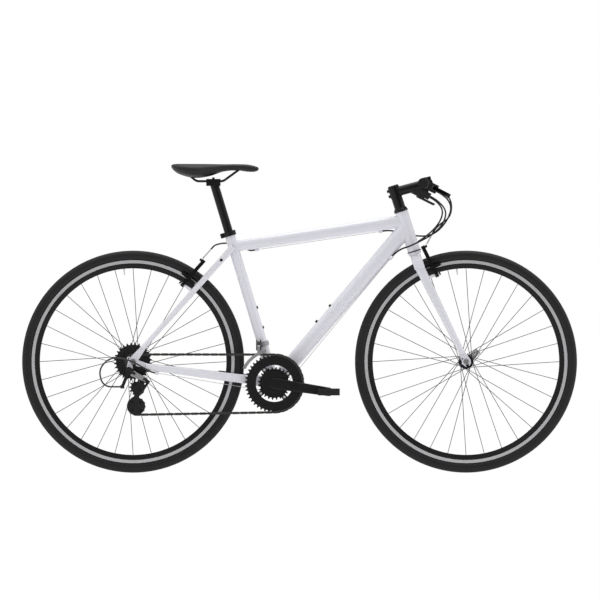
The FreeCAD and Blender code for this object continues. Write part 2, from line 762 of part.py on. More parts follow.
def tyre(label, place):
    """Open tyre with two beads in the rim, and the valve of its tube."""
    middle = size("bead_seat_diameter / 2 + tyre_height - tyre_width / 2")
    edge = size(f"{RIM_EDGE} + part_gap")
    round_half = size("tyre_width / 2")
    shoulder = math.sqrt(round_half ** 2 - (middle - edge) ** 2)
    bead = size("rim_width / 2 - rim_wall - fit_gap")
    seat = size("bead_seat_diameter / 2 + fit_gap")
    hollow = size("tyre_width / 2 - tyre_wall")
    lining = size("bead_width")
    casing = turned(f"{label}_casing", [
        (edge, shoulder, -round_half), (middle, round_half, -round_half),
        (WHEEL_RADIUS, 0, -round_half), (middle, -round_half, -round_half),
        (edge, -shoulder), (edge, -bead), (seat, -bead), (seat, lining - bead),
        (middle, -hollow), (middle + hollow, -hollow / 3), (middle + hollow, hollow / 3), (middle, hollow),
        (seat, bead - lining), (seat, bead), (edge, bead)], place)
    way = valve_way()
    foot = place.Base + way * size(f"{RIM_EDGE} - rim_lip")
    valve = cylinder(f"{label}_valve", "valve_diameter / 2", "valve_length", foot, way * -1)
    node(f"{label}_tyre", casing, valve)


def spokes(label, place, flanges):
    """Crossed spokes, drawn as six-sided bars that leave the flanges on alternate faces."""
    count = round(size("spoke_count") / 2)
    step = 360 / count
    thick = size("spoke_diameter")
    bars = []
    for side, flange in enumerate(flanges):
        for number in range(count):
            turn = 1 if number % 2 else -1
            face = turn * size("flange_thickness / 2 + spoke_diameter / 2 + fit_gap")
            face += size("spoke_lean") * math.copysign(1, flange) if turn * flange > 0 else 0
            rim_angle = step * (number + side / 2)
            hub_angle = rim_angle + turn * step * size("spoke_crosses")
            start = polar(hub_angle, size("spoke_circle / 2")) + SIDEWAYS * (flange + face)
            stop = polar(rim_angle, size(f"{RIM_INNER} - part_gap"))
            along = (stop - start).normalize()
            across = along.cross(SIDEWAYS).normalize() * thick / 2
            corners = [start + Rotation(along, 60 * corner).multVec(across) for corner in range(7)]
            bars.append(Part.Face(Part.makePolygon(corners)).extrude(stop - start))
    node(f"{label}_spokes",
         feature(f"{label}_spoke_set", Part.makeCompound(bars), Placement(place.Base, Rotation())))


def hub(label, place, low, high, low_overhang="hub_overhang"):
    """Hub shell between two flanges, bored for the cones; heights run along the placement's Z."""
    bore = "cone_diameter / 2 + fit_gap"
    half = "flange_thickness / 2"
    points = [(bore, f"{low} - {low_overhang}"), ("hub_end / 2", f"{low} - {low_overhang}"),
              ("hub_end / 2", f"{low} - {half}"), ("flange_diameter / 2", f"{low} - {half}"),
              ("flange_diameter / 2", f"{low} + {half}"), ("hub_end / 2", f"{low} + {half}"),
              ("hub_barrel / 2", f"{low} + hub_overhang"), ("hub_barrel / 2", f"{high} - hub_overhang"),
              ("hub_end / 2", f"{high} - {half}"), ("flange_diameter / 2", f"{high} - {half}"),
              ("flange_diameter / 2", f"{high} + {half}"), ("hub_end / 2", f"{high} + {half}"),
              ("hub_end / 2", f"{high} + hub_overhang"), (bore, f"{high} + hub_overhang")]
    node(f"{label}_hub", turned(f"{label}_hub_shell", points, place))


def axle(label, place, width, thickness, diameter, low_cone, high_cone):
    """Hollow axle with cones and locknuts, the skewer through it and the skewer's end pieces."""
    face = f"{width} / 2"
    bore = "skewer_diameter / 2 + fit_gap"
    shaft = f"{diameter} / 2"
    cone, nut = "cone_diameter / 2", "locknut_diameter / 2"
    tip = f"{face} + {thickness} - part_gap"
    spindle = turned(f"{label}_spindle", [
        (bore, f"-({tip})"), (shaft, f"-({tip})"), (shaft, f"-({face})"), (nut, f"-({face})"),
        (nut, f"-({face}) + 4"), (cone, f"-({face}) + 4"), (cone, low_cone), (shaft, low_cone),
        (shaft, high_cone), (cone, high_cone), (cone, f"{face} - 4"), (nut, f"{face} - 4"),
        (nut, face), (shaft, face), (shaft, tip), (bore, tip)], place)
    outside = f"{face} + {thickness}"
    rod = cylinder(f"{label}_skewer_rod", "skewer_diameter / 2", f"2 * ({outside})",
                   place.Base, centred=True)
    ends = []
    for side, name in ((-1, "nut"), (1, "cam_housing")):
        base = place.Base + SIDEWAYS * side * size(outside)
        ends.append(turned(f"{label}_{name}", [
            (0, 0), ("skewer_nut_diameter / 2", 0), ("skewer_nut_diameter / 2", "skewer_nut_length / 2"),
            ("skewer_nut_diameter / 2 - 2", "skewer_nut_length"), (0, "skewer_nut_length")],
            placed(base, SIDEWAYS * side)))
    node(f"{label}_axle", spindle, rod, *ends)


FRONT_WHEEL = placed(FRONT_AXLE, SIDEWAYS)
REAR_WHEEL = placed(REAR_AXLE, SIDEWAYS)
for label, place in (("front", FRONT_WHEEL), ("rear", REAR_WHEEL)):
    rim(label, place)
    tyre(label, place)
spokes("front", FRONT_WHEEL, (-size("front_flange"), size("front_flange")))
spokes("rear", REAR_WHEEL, (-size("rear_right_flange"), size("rear_left_flange")))
hub("front", FRONT_WHEEL, "-front_flange", "front_flange")
hub("rear", REAR_WHEEL, "-rear_right_flange", "rear_left_flange", "flange_thickness")
axle("front", FRONT_WHEEL, "front_hub_width", "dropout_thickness", "front_axle_diameter",
     "-front_flange", "front_flange")
axle("rear", REAR_WHEEL, "rear_hub_width", "dropout_thickness", "rear_axle_diameter",
     "-rear_right_flange", "rear_left_flange")


def pitch_radius(teeth):
    """Radius of the circle that the chain's pins take on a wheel of so many teeth."""
    return size("chain_pitch") / (2 * math.sin(math.pi / teeth))


def flat_polar(angle, radius):
    """Point in the plane at an angle in radians."""
    return Vector(radius * math.cos(angle), radius * math.sin(angle), 0)


def toothed_disc(teeth, phase, thickness):
    """Wheel with a gullet at the phase angle (radians, in the XY plane), centred on its own thickness.

    Each pitch has a flat gullet below the roller and a flat tooth tip.
    """
    pitch = pitch_radius(teeth)
    root = pitch - size("roller_diameter / 2 + part_gap")
    tip = pitch + size("roller_diameter") * 0.36
    gullet_half = size("roller_diameter") * 0.33 / root
    tip_half = size("chain_pitch") * 0.1 / tip
    corners = []
    for tooth in range(teeth):
        gullet = phase + 2 * math.pi * tooth / teeth
        crest = gullet + math.pi / teeth
        corners += [flat_polar(gullet - gullet_half, root), flat_polar(gullet + gullet_half, root),
                    flat_polar(crest - tip_half, tip), flat_polar(crest + tip_half, tip)]
    outline = Part.makePolygon(corners + corners[:1])
    outline.translate(Vector(0, 0, -thickness / 2))
    return Part.Face(outline).extrude(Vector(0, 0, thickness))


def disc(radius, low, high, centre=Vector()):
    """Plain round disc along Z between two heights."""
    return Part.makeCylinder(radius, high - low, centre + Vector(0, 0, low))


def drive_place(centre, offset=0.0):
    """Placement in the chain's plane: X forward, Y up, Z out to the drive side."""
    return placed(Vector(centre.x, -size("chain_line") + offset, centre.z), -SIDEWAYS)


class ChainPath:
    """Closed line of the chain: ring, sprocket, guide pulley, tension pulley and back.

    Points are (x, z) pairs. A turn of +1 goes round a wheel counter-clockwise as the drive side shows it.
    """

    TEETH = (CHAINRING_TEETH[0], SPROCKET_TEETH[0], GUIDE_TEETH, TENSION_TEETH)
    TURNS = (1, 1, -1, 1)

    def __init__(self, cage_angle):
        guide = REAR_AXLE + Vector(size("guide_ahead"), 0, -size("guide_drop"))
        self.centres = [BB, REAR_AXLE, guide, guide + polar(cage_angle, size("cage_reach"))]
        self.radii = [pitch_radius(teeth) for teeth in self.TEETH]
        self.runs = [self.tangent(wheel, (wheel + 1) % 4) for wheel in range(4)]

    def tangent(self, first, second):
        """Straight run from one wheel to the next: its two ends."""
        between = self.centres[second] - self.centres[first]
        lean = math.asin((self.TURNS[first] * self.radii[first] - self.TURNS[second] * self.radii[second])
                         / between.Length)
        way = polar(math.degrees(math.atan2(between.z, between.x) + lean))
        left = Vector(-way.z, 0, way.x)
        return [self.centres[wheel] - left * self.TURNS[wheel] * self.radii[wheel] for wheel in (first,
                                                                                                 second)]

    def arc(self, wheel):
        """Angle where the chain meets a wheel, and how far it goes round it, both in radians."""
        arrive, leave = self.runs[wheel - 1][1], self.runs[wheel][0]
        angles = [math.atan2(point.z - self.centres[wheel].z, point.x - self.centres[wheel].x)
                  for point in (arrive, leave)]
        sweep = self.TURNS[wheel] * (angles[1] - angles[0]) % (2 * math.pi)
        return angles[0], sweep

    def pitches(self):
        """Length of each arc and run in turn, counted in links."""
        lengths = []
        for wheel in range(4):
            lengths.append(self.arc(wheel)[1] * self.TEETH[wheel] / (2 * math.pi))
            start, stop = self.runs[wheel]
            lengths.append((stop - start).Length / size("chain_pitch"))
        return lengths

    def point(self, count):
        """Place that lies so many links along the chain from where it meets the ring."""
        for number, length in enumerate(self.pitches()):
            wheel = number // 2
            if count <= length or number == 7:
                break
            count -= length
        if number % 2:
            start, stop = self.runs[wheel]
            return start + (stop - start).normalize() * count * size("chain_pitch")
        angle, _ = self.arc(wheel)
        angle += self.TURNS[wheel] * count * 2 * math.pi / self.TEETH[wheel]
        return self.centres[wheel] + polar(math.degrees(angle), self.radii[wheel])

    def phase(self, wheel):
        """Angle in radians of one of the chain's pins on a wheel."""
        passed = sum(self.pitches()[:2 * wheel])
        pin = self.point(math.ceil(passed)) - self.centres[wheel]
        return math.atan2(pin.z, pin.x)


def taut_path():
    """Chain path whose cage angle makes the chain a whole, even number of links."""
    near, span = size("cage_angle"), 25
    links = 2 * round(sum(ChainPath(near).pitches()) / 2)
    low, high = near - span, near + span
    rising = sum(ChainPath(high).pitches()) > sum(ChainPath(low).pitches())
    for _ in range(50):
        middle = (low + high) / 2
        if (sum(ChainPath(middle).pitches()) > links) == rising:
            high = middle
        else:
            low = middle
    return ChainPath(middle), links


def link_plate(height, low, waist=None):
    """One side plate of a link, with its pins half a pitch from the middle."""
    half = size("chain_pitch") / 2
    tall = height / 2
    upper = [(-half - tall, 0), (-half, tall), (half, tall), (half + tall, 0)]
    if waist:
        upper.insert(2, (0, waist / 2))
    outline = upper + [(x, -y) for x, y in reversed(upper[1:-1])]
    corners = [Vector(x, y, low) for x, y in outline]
    face = Part.Face(Part.makePolygon(corners + corners[:1]))
    return face.extrude(Vector(0, 0, size("chain_plate")))


def chain(path, links):
    """Roller chain: inner links with rollers and outer links with waisted plates, in turn."""
    tall, waist, plate_wall = (size(name) for name in ("chain_plate_height", "chain_plate_waist",
                                                       "chain_plate"))
    inside = size("chain_inner_width / 2")
    gap = size("fit_gap") * 2
    outer_low = inside + plate_wall + gap
    inner_link = [link_plate(tall - 0.6, inside), link_plate(tall - 0.6, -inside - plate_wall)]
    outer_link = [link_plate(tall, outer_low, waist), link_plate(tall, -outer_low - plate_wall, waist)]
    for side in (-1, 1):
        pin = Vector(side * size("chain_pitch") / 2, 0, 0)
        corners = [pin + Vector(0, 0, -inside) + flat_polar(math.pi * corner / 3, size("roller_diameter / 2"))
                   for corner in range(7)]
        inner_link.append(Part.Face(Part.makePolygon(corners)).extrude(Vector(0, 0, 2 * inside)))
    masters = (Part.makeCompound(inner_link), Part.makeCompound(outer_link))
    pins = [path.point(number) for number in range(links)] + [path.point(0)]
    solids = []
    for number, (pin, after) in enumerate(zip(pins, pins[1:])):
        copy = masters[number % 2].copy()
        copy.Placement = placed((pin + after) / 2 - SIDEWAYS * size("chain_line"), -SIDEWAYS, after - pin)
        solids += copy.Solids
    node("chain", feature("chain_links", Part.makeCompound(solids)))


def cassette(phase):
    """Eight sprockets with their spacers, the freehub body inside them and the lockring."""
    thick = size("tooth_thickness")
    bore = size("freehub_diameter / 2 + fit_gap")
    step = size("sprocket_pitch")
    pieces = []
    for number, teeth in enumerate(SPROCKET_TEETH):
        cog = toothed_disc(teeth, phase, thick)
        if number < len(SPROCKET_TEETH) - 1:
            spacer_radius = bore + (pitch_radius(teeth) - bore) * 0.1
            cog = cog.fuse(disc(spacer_radius, thick / 2 - step + size("fit_gap"), -thick / 2))
        solid = cog.cut(disc(bore, -step, step))
        pieces.append(feature(f"sprocket_{teeth}", solid, drive_place(REAR_AXLE, number * step)))
    inner_end = size("chain_line - rear_right_flange - flange_thickness - part_gap")
    outer_end = thick / 2 + size("part_gap")
    body = disc(size("freehub_diameter / 2"), -inner_end, outer_end)
    pieces.append(feature("freehub_body", body.cut(disc(size("cone_diameter / 2 + fit_gap"), -60, 60)),
                          drive_place(REAR_AXLE)))
    ring = disc(size("freehub_diameter / 2"), outer_end, outer_end + 2.5)
    pieces.append(feature("lockring", ring.cut(disc(size("cone_diameter / 2") + 2, -10, 10)),
                          drive_place(REAR_AXLE)))
    node("cassette", *pieces)


def ring_angles():
    """Angles of the spider's four arms, halfway between the crank and its square."""
    return [math.radians(size("crank_angle") + 45 + 90 * quarter) for quarter in range(4)]


def chainrings(phase):
    """Three rings with lugs on the spider's bolt circles, and the bolts through them."""
    thick = size("tooth_thickness")
    lug = size("ring_bolt_diameter")
    step = size("chainring_spacing")
    pieces = []
    for number, (teeth, circle) in enumerate(zip(CHAINRING_TEETH, ("large", "large", "small"))):
        bolts = size(f"{circle}_ring_bolts / 2")
        inner = bolts + lug * 0.6
        shape = toothed_disc(teeth, phase, thick).cut(disc(inner, -step, step))
        for angle in ring_angles():
            shape = shape.fuse(disc(lug, -thick / 2, thick / 2, flat_polar(angle, bolts)))
        for angle in ring_angles():
            hole = disc(size("ring_bolt_diameter / 2 + fit_gap"), -step, step, flat_polar(angle, bolts))
            shape = shape.cut(hole)
        pieces.append(feature(f"ring_{teeth}", shape, drive_place(BB, number * step)))
    bolts = []
    for angle in ring_angles():
        centre = flat_polar(angle, size("large_ring_bolts / 2"))
        bolts.append(disc(size("ring_bolt_diameter / 2"), -step - thick / 2, thick / 2 + 1.5, centre))
        centre = flat_polar(angle, size("small_ring_bolts / 2"))
        bolts.append(disc(size("ring_bolt_diameter / 2"), -2 * step - thick, -step + thick / 2, centre))
    pieces.append(feature("ring_bolts", Part.makeCompound(bolts), drive_place(BB)))
    node("chainrings", *pieces)


def crank_arm(label, side, angle):
    """Crank arm with a round boss and pedal eye, bored for the spindle, its outer edge rounded."""
    way = polar(angle)
    base = BB + SIDEWAYS * side * size("crank_offset")
    root, eye, reach = size("crank_root_width / 2"), size("crank_eye_width / 2"), size("crank_length")
    lean = math.asin((root - eye) / reach)
    top_root, top_eye = (Vector(math.sin(lean) * radius, math.cos(lean) * radius, 0) for radius in (root,
                                                                                                    eye))
    points = [(top_root.x, -top_root.y), (reach + top_eye.x, -top_eye.y, eye), (reach + eye, 0, eye),
              (reach + top_eye.x, top_eye.y), (top_root.x, top_root.y, root), (-root, 0, root)]
    body = plate(f"{label}_arm_blank", points, "crank_thickness", placed(base, SIDEWAYS * side, way))
    doc.recompute()
    pad = body.Tip
    top = size("crank_thickness")
    edges = [f"Edge{number}" for number, edge in enumerate(pad.Shape.Edges, start=1)
             if abs(edge.BoundBox.ZMin - top) < 1e-6 and abs(edge.BoundBox.ZMax - top) < 1e-6]
    rounding = body.newObject("PartDesign::Fillet", f"{label}_arm_rounding")
    rounding.Base = (pad, edges)
    bind(rounding, "Radius", "crank_edge")
    return body, base, way


def crankset():
    """Both cranks, the right one with its spider, the spindle between them and the pedal axles."""
    pieces = []
    inner_face = size("chain_line - chainring_spacing + tooth_thickness / 2")
    for label, side, turn in (("right", -1, 0), ("left", 1, 180)):
        arm, base, way = crank_arm(label, side, size("crank_angle") + turn)
        inner = size("bb_shell_width / 2 + cup_lip + part_gap")
        length = size("crank_offset") - inner
        boss = cylinder(f"{label}_crank_boss", "crank_root_width / 2", length, BB + SIDEWAYS * side * inner,
                        SIDEWAYS * side)
        joined = [arm, boss]
        holes = []
        if side < 0:
            joined += spider(inner_face)
            holes = ring_bolt_holes(inner_face)
        bore = cylinder(f"{label}_crank_bore", "spindle_diameter / 2 + fit_gap",
                        "crank_offset + crank_thickness / 2",
                        BB, SIDEWAYS * side)
        eye = base + way * size("crank_length")
        hole = cylinder(f"{label}_pedal_hole", "pedal_axle_diameter / 2", "crank_thickness", eye,
                        SIDEWAYS * side)
        pieces.append(cut(f"{label}_crank_arm", fuse(f"{label}_crank_joined", *joined), bore, hole, *holes))
        pieces.append(cylinder(f"{label}_pedal_axle", "pedal_axle_diameter / 2 - fit_gap",
                               "crank_thickness + pedal_gap + pedal_width - pedal_rail / 2", eye,
                               SIDEWAYS * side))
    pieces.append(cylinder("spindle", "spindle_diameter / 2", "2 * crank_offset + crank_thickness", BB,
                           centred=True))
    node("crank_arms", *pieces)


def spider(inner_face):
    """Broad hub with four arms between the two outer rings, out to their bolts."""
    arms = []
    thick = size("chainring_spacing - tooth_thickness")
    for number, angle in enumerate(ring_angles()):
        way = polar(math.degrees(angle))
        middle = BB - SIDEWAYS * (inner_face + thick / 2)
        place = placed(middle, -SIDEWAYS, way)
        arms.append(block(f"spider_arm_{number}", ("large_ring_bolts / 2 + ring_bolt_diameter * 0.8",
                                                   "ring_bolt_diameter * 2",
                                                   "chainring_spacing - tooth_thickness"),
                          place, (False, True, True)))
    arms.append(cylinder("spider_hub_disc", "spider_hub / 2", thick, BB - SIDEWAYS * inner_face, -SIDEWAYS))
    return arms


def ring_bolt_holes(inner_face):
    """Holes through the spider's arms for the outer rings' bolts."""
    return [cylinder(f"spider_hole_{number}", "ring_bolt_diameter / 2 + fit_gap", "chainring_spacing",
                     BB - SIDEWAYS * (inner_face - 1) + polar(math.degrees(angle),
                                                              size("large_ring_bolts / 2")),
                     -SIDEWAYS) for number, angle in enumerate(ring_angles())]


def pedal(label, side, angle):
    """Platform pedal: a barrel round the axle, two cross bars and toothless rails front and rear."""
    eye = BB + polar(angle, size("crank_length"))
    start = size("crank_offset + crank_thickness + pedal_gap")
    place = placed(eye + SIDEWAYS * side * start, SIDEWAYS * side)
    rails = []
    frame = block(f"{label}_pedal_frame", ("pedal_length", "pedal_thickness", "pedal_width"), place,
                  (True, True, False))
    for sign in (-1, 1):
        middle = sign * size("pedal_length / 4 + pedal_barrel / 4 - pedal_rail / 2")
        window = place * Placement(Vector(middle, 0, size("pedal_rail")), Rotation())
        rails.append(block(f"{label}_pedal_window_{sign}",
                           ("pedal_length / 2 - pedal_barrel / 2 - pedal_rail", "2 * pedal_thickness",
                            "pedal_width - 2 * pedal_rail"), window, (True, True, False)))
    bore = cylinder(f"{label}_pedal_bore", "pedal_axle_diameter / 2", "pedal_width - pedal_rail / 2",
                    place.Base, SIDEWAYS * side)
    node(f"{label}_pedal", cut(f"{label}_pedal_body", frame, *rails, bore))


PATH, LINKS = taut_path()
RING_PHASE = PATH.phase(0)
chain(PATH, LINKS)
cassette(PATH.phase(1))
chainrings(RING_PHASE)
crankset()
pedal("right", -1, size("crank_angle"))
pedal("left", 1, size("crank_angle") + 180)


def bearings():
    """Cups of the bottom bracket and the headset, pressed into the frame."""
    cups = []
    for side in (-1, 1):
        end = BB + SIDEWAYS * side * size("bb_shell_width / 2")
        cups.append(turned(f"bb_cup_{side}", [
            ("spindle_diameter / 2 + fit_gap", "-cup_depth"), ("bb_shell_bore / 2", "-cup_depth"),
            ("bb_shell_bore / 2", 0), ("bb_shell_od / 2 - 1", 0), ("bb_shell_od / 2 - 1", "cup_lip"),
            ("spindle_diameter / 2 + fit_gap", "cup_lip")], placed(end, SIDEWAYS * side)))
    for name, end, way in (("upper", HEAD_TOP, STEER_UP), ("lower", HEAD_BOTTOM, STEER_UP * -1)):
        cups.append(turned(f"{name}_headset_cup", [
            ("steerer_diameter / 2 + fit_gap", "-headset_depth"), ("head_tube_bore / 2", "-headset_depth"),
            ("head_tube_bore / 2", 0), ("headset_diameter / 2", 0),
            ("headset_diameter / 2", "headset_lip"), ("steerer_diameter / 2 + fit_gap", "headset_lip")],
            placed(end, way)))
    node("frame_bearings", *cups)


LEG_TOP = CROWN - STEER_UP * size("crown_depth")
LEG_UP = (LEG_TOP - FRONT_AXLE).normalize()
LEG_OFFSET = size("crown_arch / 4 + crown_width / 4")
FORK_END_OFFSET = size("front_hub_width / 2 + dropout_thickness / 2")
STEM_FOOT = HEAD_TOP + STEER_UP * size("headset_lip + part_gap + headset_cap_height + spacer_stack")
STEM_TOP = STEM_FOOT + STEER_UP * size("stem_clamp_height")
STEM_MIDDLE = (STEM_FOOT + STEM_TOP) / 2
BAR_MIDDLE = STEM_MIDDLE + polar(size("stem_rise"), size("stem_length"))


def fork_end_outline():
    """Outline of a fork end about the axle: x forward, y up."""
    def flat(vector):
        return vector.x, vector.z
    slot = size("front_axle_diameter / 2 + part_gap")
    mouth = polar(size("slot_tilt") - 90)
    mouth_end = mouth * size("slot_depth")
    across = polar(size("slot_tilt"), slot)
    end = LEG_UP * size("fork_end_arm")
    sidestep = Vector(LEG_UP.z, 0, -LEG_UP.x) * size("fork_end_width / 2")
    cheek = size("front_axle_diameter / 2") + 9
    return [flat(end - sidestep), (-cheek, 2), (-cheek, -cheek / 2), flat(mouth_end - across),
            (*flat(across * -1), -slot), (*flat(mouth * -slot), -slot), flat(across),
            flat(mouth_end + across), (cheek * 1.1, -cheek / 4), (cheek, cheek / 2), flat(end + sidestep)]


def fork_eyelet():
    """Mudguard eyelet of the fork: behind the axle, on the fork end."""
    return Vector(-size("front_axle_diameter / 2 + eyelet_radius + 2"), 0, size("front_axle_diameter"))


def fork():
    """Steerer and crown in one piece, two tapered legs, the fork ends and the brake bosses."""
    half, depth = size("crown_width / 2"), size("crown_depth")
    arch, neck = size("crown_arch / 2"), size("head_tube_od / 2 - 1")
    roof = arch - depth + 6
    yoke = plate("crown_yoke", [
        (-neck, 0), (-half + 4, -depth / 2), (-half, -depth), (-arch, -depth), (-arch, roof - arch, -arch),
        (0, roof, -arch), (arch, roof - arch), (arch, -depth), (half, -depth), (half - 4, -depth / 2),
        (neck, 0)],
        "crown_length", placed(CROWN - STEER_AHEAD * size("crown_length / 2"), STEER_AHEAD, SIDEWAYS))
    race = cylinder("crown_race", "headset_diameter / 2 - 2", "lower_stack - headset_lip - part_gap", CROWN,
                    STEER_UP)
    rise = (STEM_TOP - CROWN).Length - 1
    steerer = cylinder("steerer", "steerer_diameter / 2", rise, CROWN, STEER_UP)
    bore = cylinder("steerer_bore", "steerer_diameter / 2 - steerer_wall", rise, CROWN, STEER_UP)
    pieces = [cut("fork_crown", fuse("crown_joined", yoke, race, steerer), bore)]
    for side, label in ((-1, "right"), (1, "left")):
        base = FRONT_AXLE + SIDEWAYS * (side * FORK_END_OFFSET + size("dropout_thickness / 2"))
        tab = plate(f"{label}_fork_tab", fork_end_outline(), "dropout_thickness", placed(base, -SIDEWAYS))
        eyelet = FRONT_AXLE + fork_eyelet() + SIDEWAYS * side * FORK_END_OFFSET
        boss = cylinder(f"{label}_fork_eyelet", "eyelet_radius", "dropout_thickness", eyelet, centred=True)
        hole = cylinder(f"{label}_fork_eyelet_hole", "eyelet_thread / 2", "2 * dropout_thickness", eyelet,
                        centred=True)
        end = cut(f"{label}_fork_end", fuse(f"{label}_fork_end_blank", tab, boss), hole)
        low = FRONT_AXLE + LEG_UP * size("fork_end_arm * 0.6") + SIDEWAYS * side * FORK_END_OFFSET
        high = LEG_TOP + STEER_UP * 8 + SIDEWAYS * side * LEG_OFFSET
        skin = blade(f"{label}_leg_skin", low, high, "leg_end_length", "leg_length", "leg_width")
        bore = cylinder(f"{label}_leg_bore", "leg_end_length / 2 - tube_wall", (high - low).Length, low,
                        high - low)
        leg = cut(f"{label}_leg", skin, bore, yoke, end)
        pieces += [end, leg, brake_boss(f"front_{label}", FRONT_BRAKE, -side, skin)]
    node("fork", *pieces)


FRONT_BRAKE = brake_frame(FRONT_AXLE, FRONT_AXLE, LEG_UP, Vector(LEG_UP.z, 0, -LEG_UP.x))


def brake_arm(label, place, side, lean_name=None):
    """Linear-pull brake arm on its boss, with its shoe and either the noodle or the cable's clamp."""
    pivot = size("boss_spacing / 2")
    hub_radius, tip_radius = size("brake_arm_hub / 2"), size("brake_arm_tip / 2")
    reach, lean = size("brake_arm_reach"), size("brake_arm_lean")
    local = place * Placement(Vector(0, size("brake_arm_start + brake_arm_thickness"), 0),
                              Rotation(FORWARD, 90))
    waist = size("pad_rise")
    points = [(side * (pivot + hub_radius), 0), (side * (pivot + tip_radius), waist),
              (side * (pivot - lean + tip_radius), reach), (side * (pivot - lean - tip_radius), reach),
              (side * (pivot - hub_radius), waist * 1.6), (side * (pivot - hub_radius), 0),
              (side * (pivot - hub_radius / 2), -hub_radius), (side * (pivot + hub_radius / 2), -hub_radius)]
    blank = plate(f"{label}_blank", points, "brake_arm_thickness", local)
    way = place.Rotation.multVec(Vector(0, 1, 0))
    bore = cylinder(f"{label}_bore", "boss_diameter / 2 + fit_gap", "boss_length",
                    place.multVec(Vector(side * pivot, 0, 0)), way)
    depth = size("brake_arm_start + brake_arm_thickness / 2")
    post_place = place.multVec(Vector(side * size("rim_width / 2 + pad_gap + pad_thickness"), depth, waist))
    across = place.Rotation.multVec(Vector(side, 0, 0))
    post_length = pivot + tip_radius + 4 - size("rim_width / 2 + pad_gap + pad_thickness")
    post_hole = cylinder(f"{label}_post_hole", 3.5, post_length, post_place, across)
    arm = cut(f"{label}_arm", blank, bore, post_hole)
    post = cylinder(f"{label}_post", "3.5 - fit_gap", post_length, post_place, across)
    shoe_place = place * Placement(Vector(side * size("rim_width / 2 + pad_gap + pad_thickness / 2"), depth,
                                          waist),
                                   Rotation())
    shoe = block(f"{label}_shoe", ("pad_thickness", "pad_length", "pad_height"), shoe_place)
    cap = cylinder(f"{label}_pivot_bolt", "boss_diameter / 2 + 3", 4,
                   place.multVec(Vector(side * pivot, size("boss_length"), 0)), way)
    pieces = [arm, post, shoe, cap]
    if lean_name:
        pieces.append(pipe(f"{label}_noodle", noodle_points(place, side, lean_name), "noodle_diameter / 2",
                           16))
    else:
        pieces.append(cylinder(f"{label}_cable_bolt", "cable_bolt_diameter / 2", "cable_bolt_height",
                               arm_tip(place, side), way))
    node(label, *pieces)


def arm_tip(place, side):
    """Middle of a brake arm's tip, on its outer face."""
    return place.multVec(Vector(side * size("boss_spacing / 2 - brake_arm_lean"),
                                size("brake_arm_start + brake_arm_thickness"),
                                size("brake_arm_reach - brake_arm_tip / 2")))


def noodle_points(place, side, lean_name):
    """Bent guide pipe that lies on the arm's tip and turns the wire towards the other arm."""
    across, way, up = (place.Rotation.multVec(axis) for axis in (Vector(side, 0, 0), SIDEWAYS, UP))
    middle = arm_tip(place, side) + way * size("noodle_diameter / 2")
    corner = middle + across * size("noodle_reach")
    angle = math.radians(size(lean_name))
    lean = up * math.cos(angle) + way * math.sin(angle)
    return [middle - across * size("brake_arm_tip"), corner, corner + lean * size("noodle_rise")]


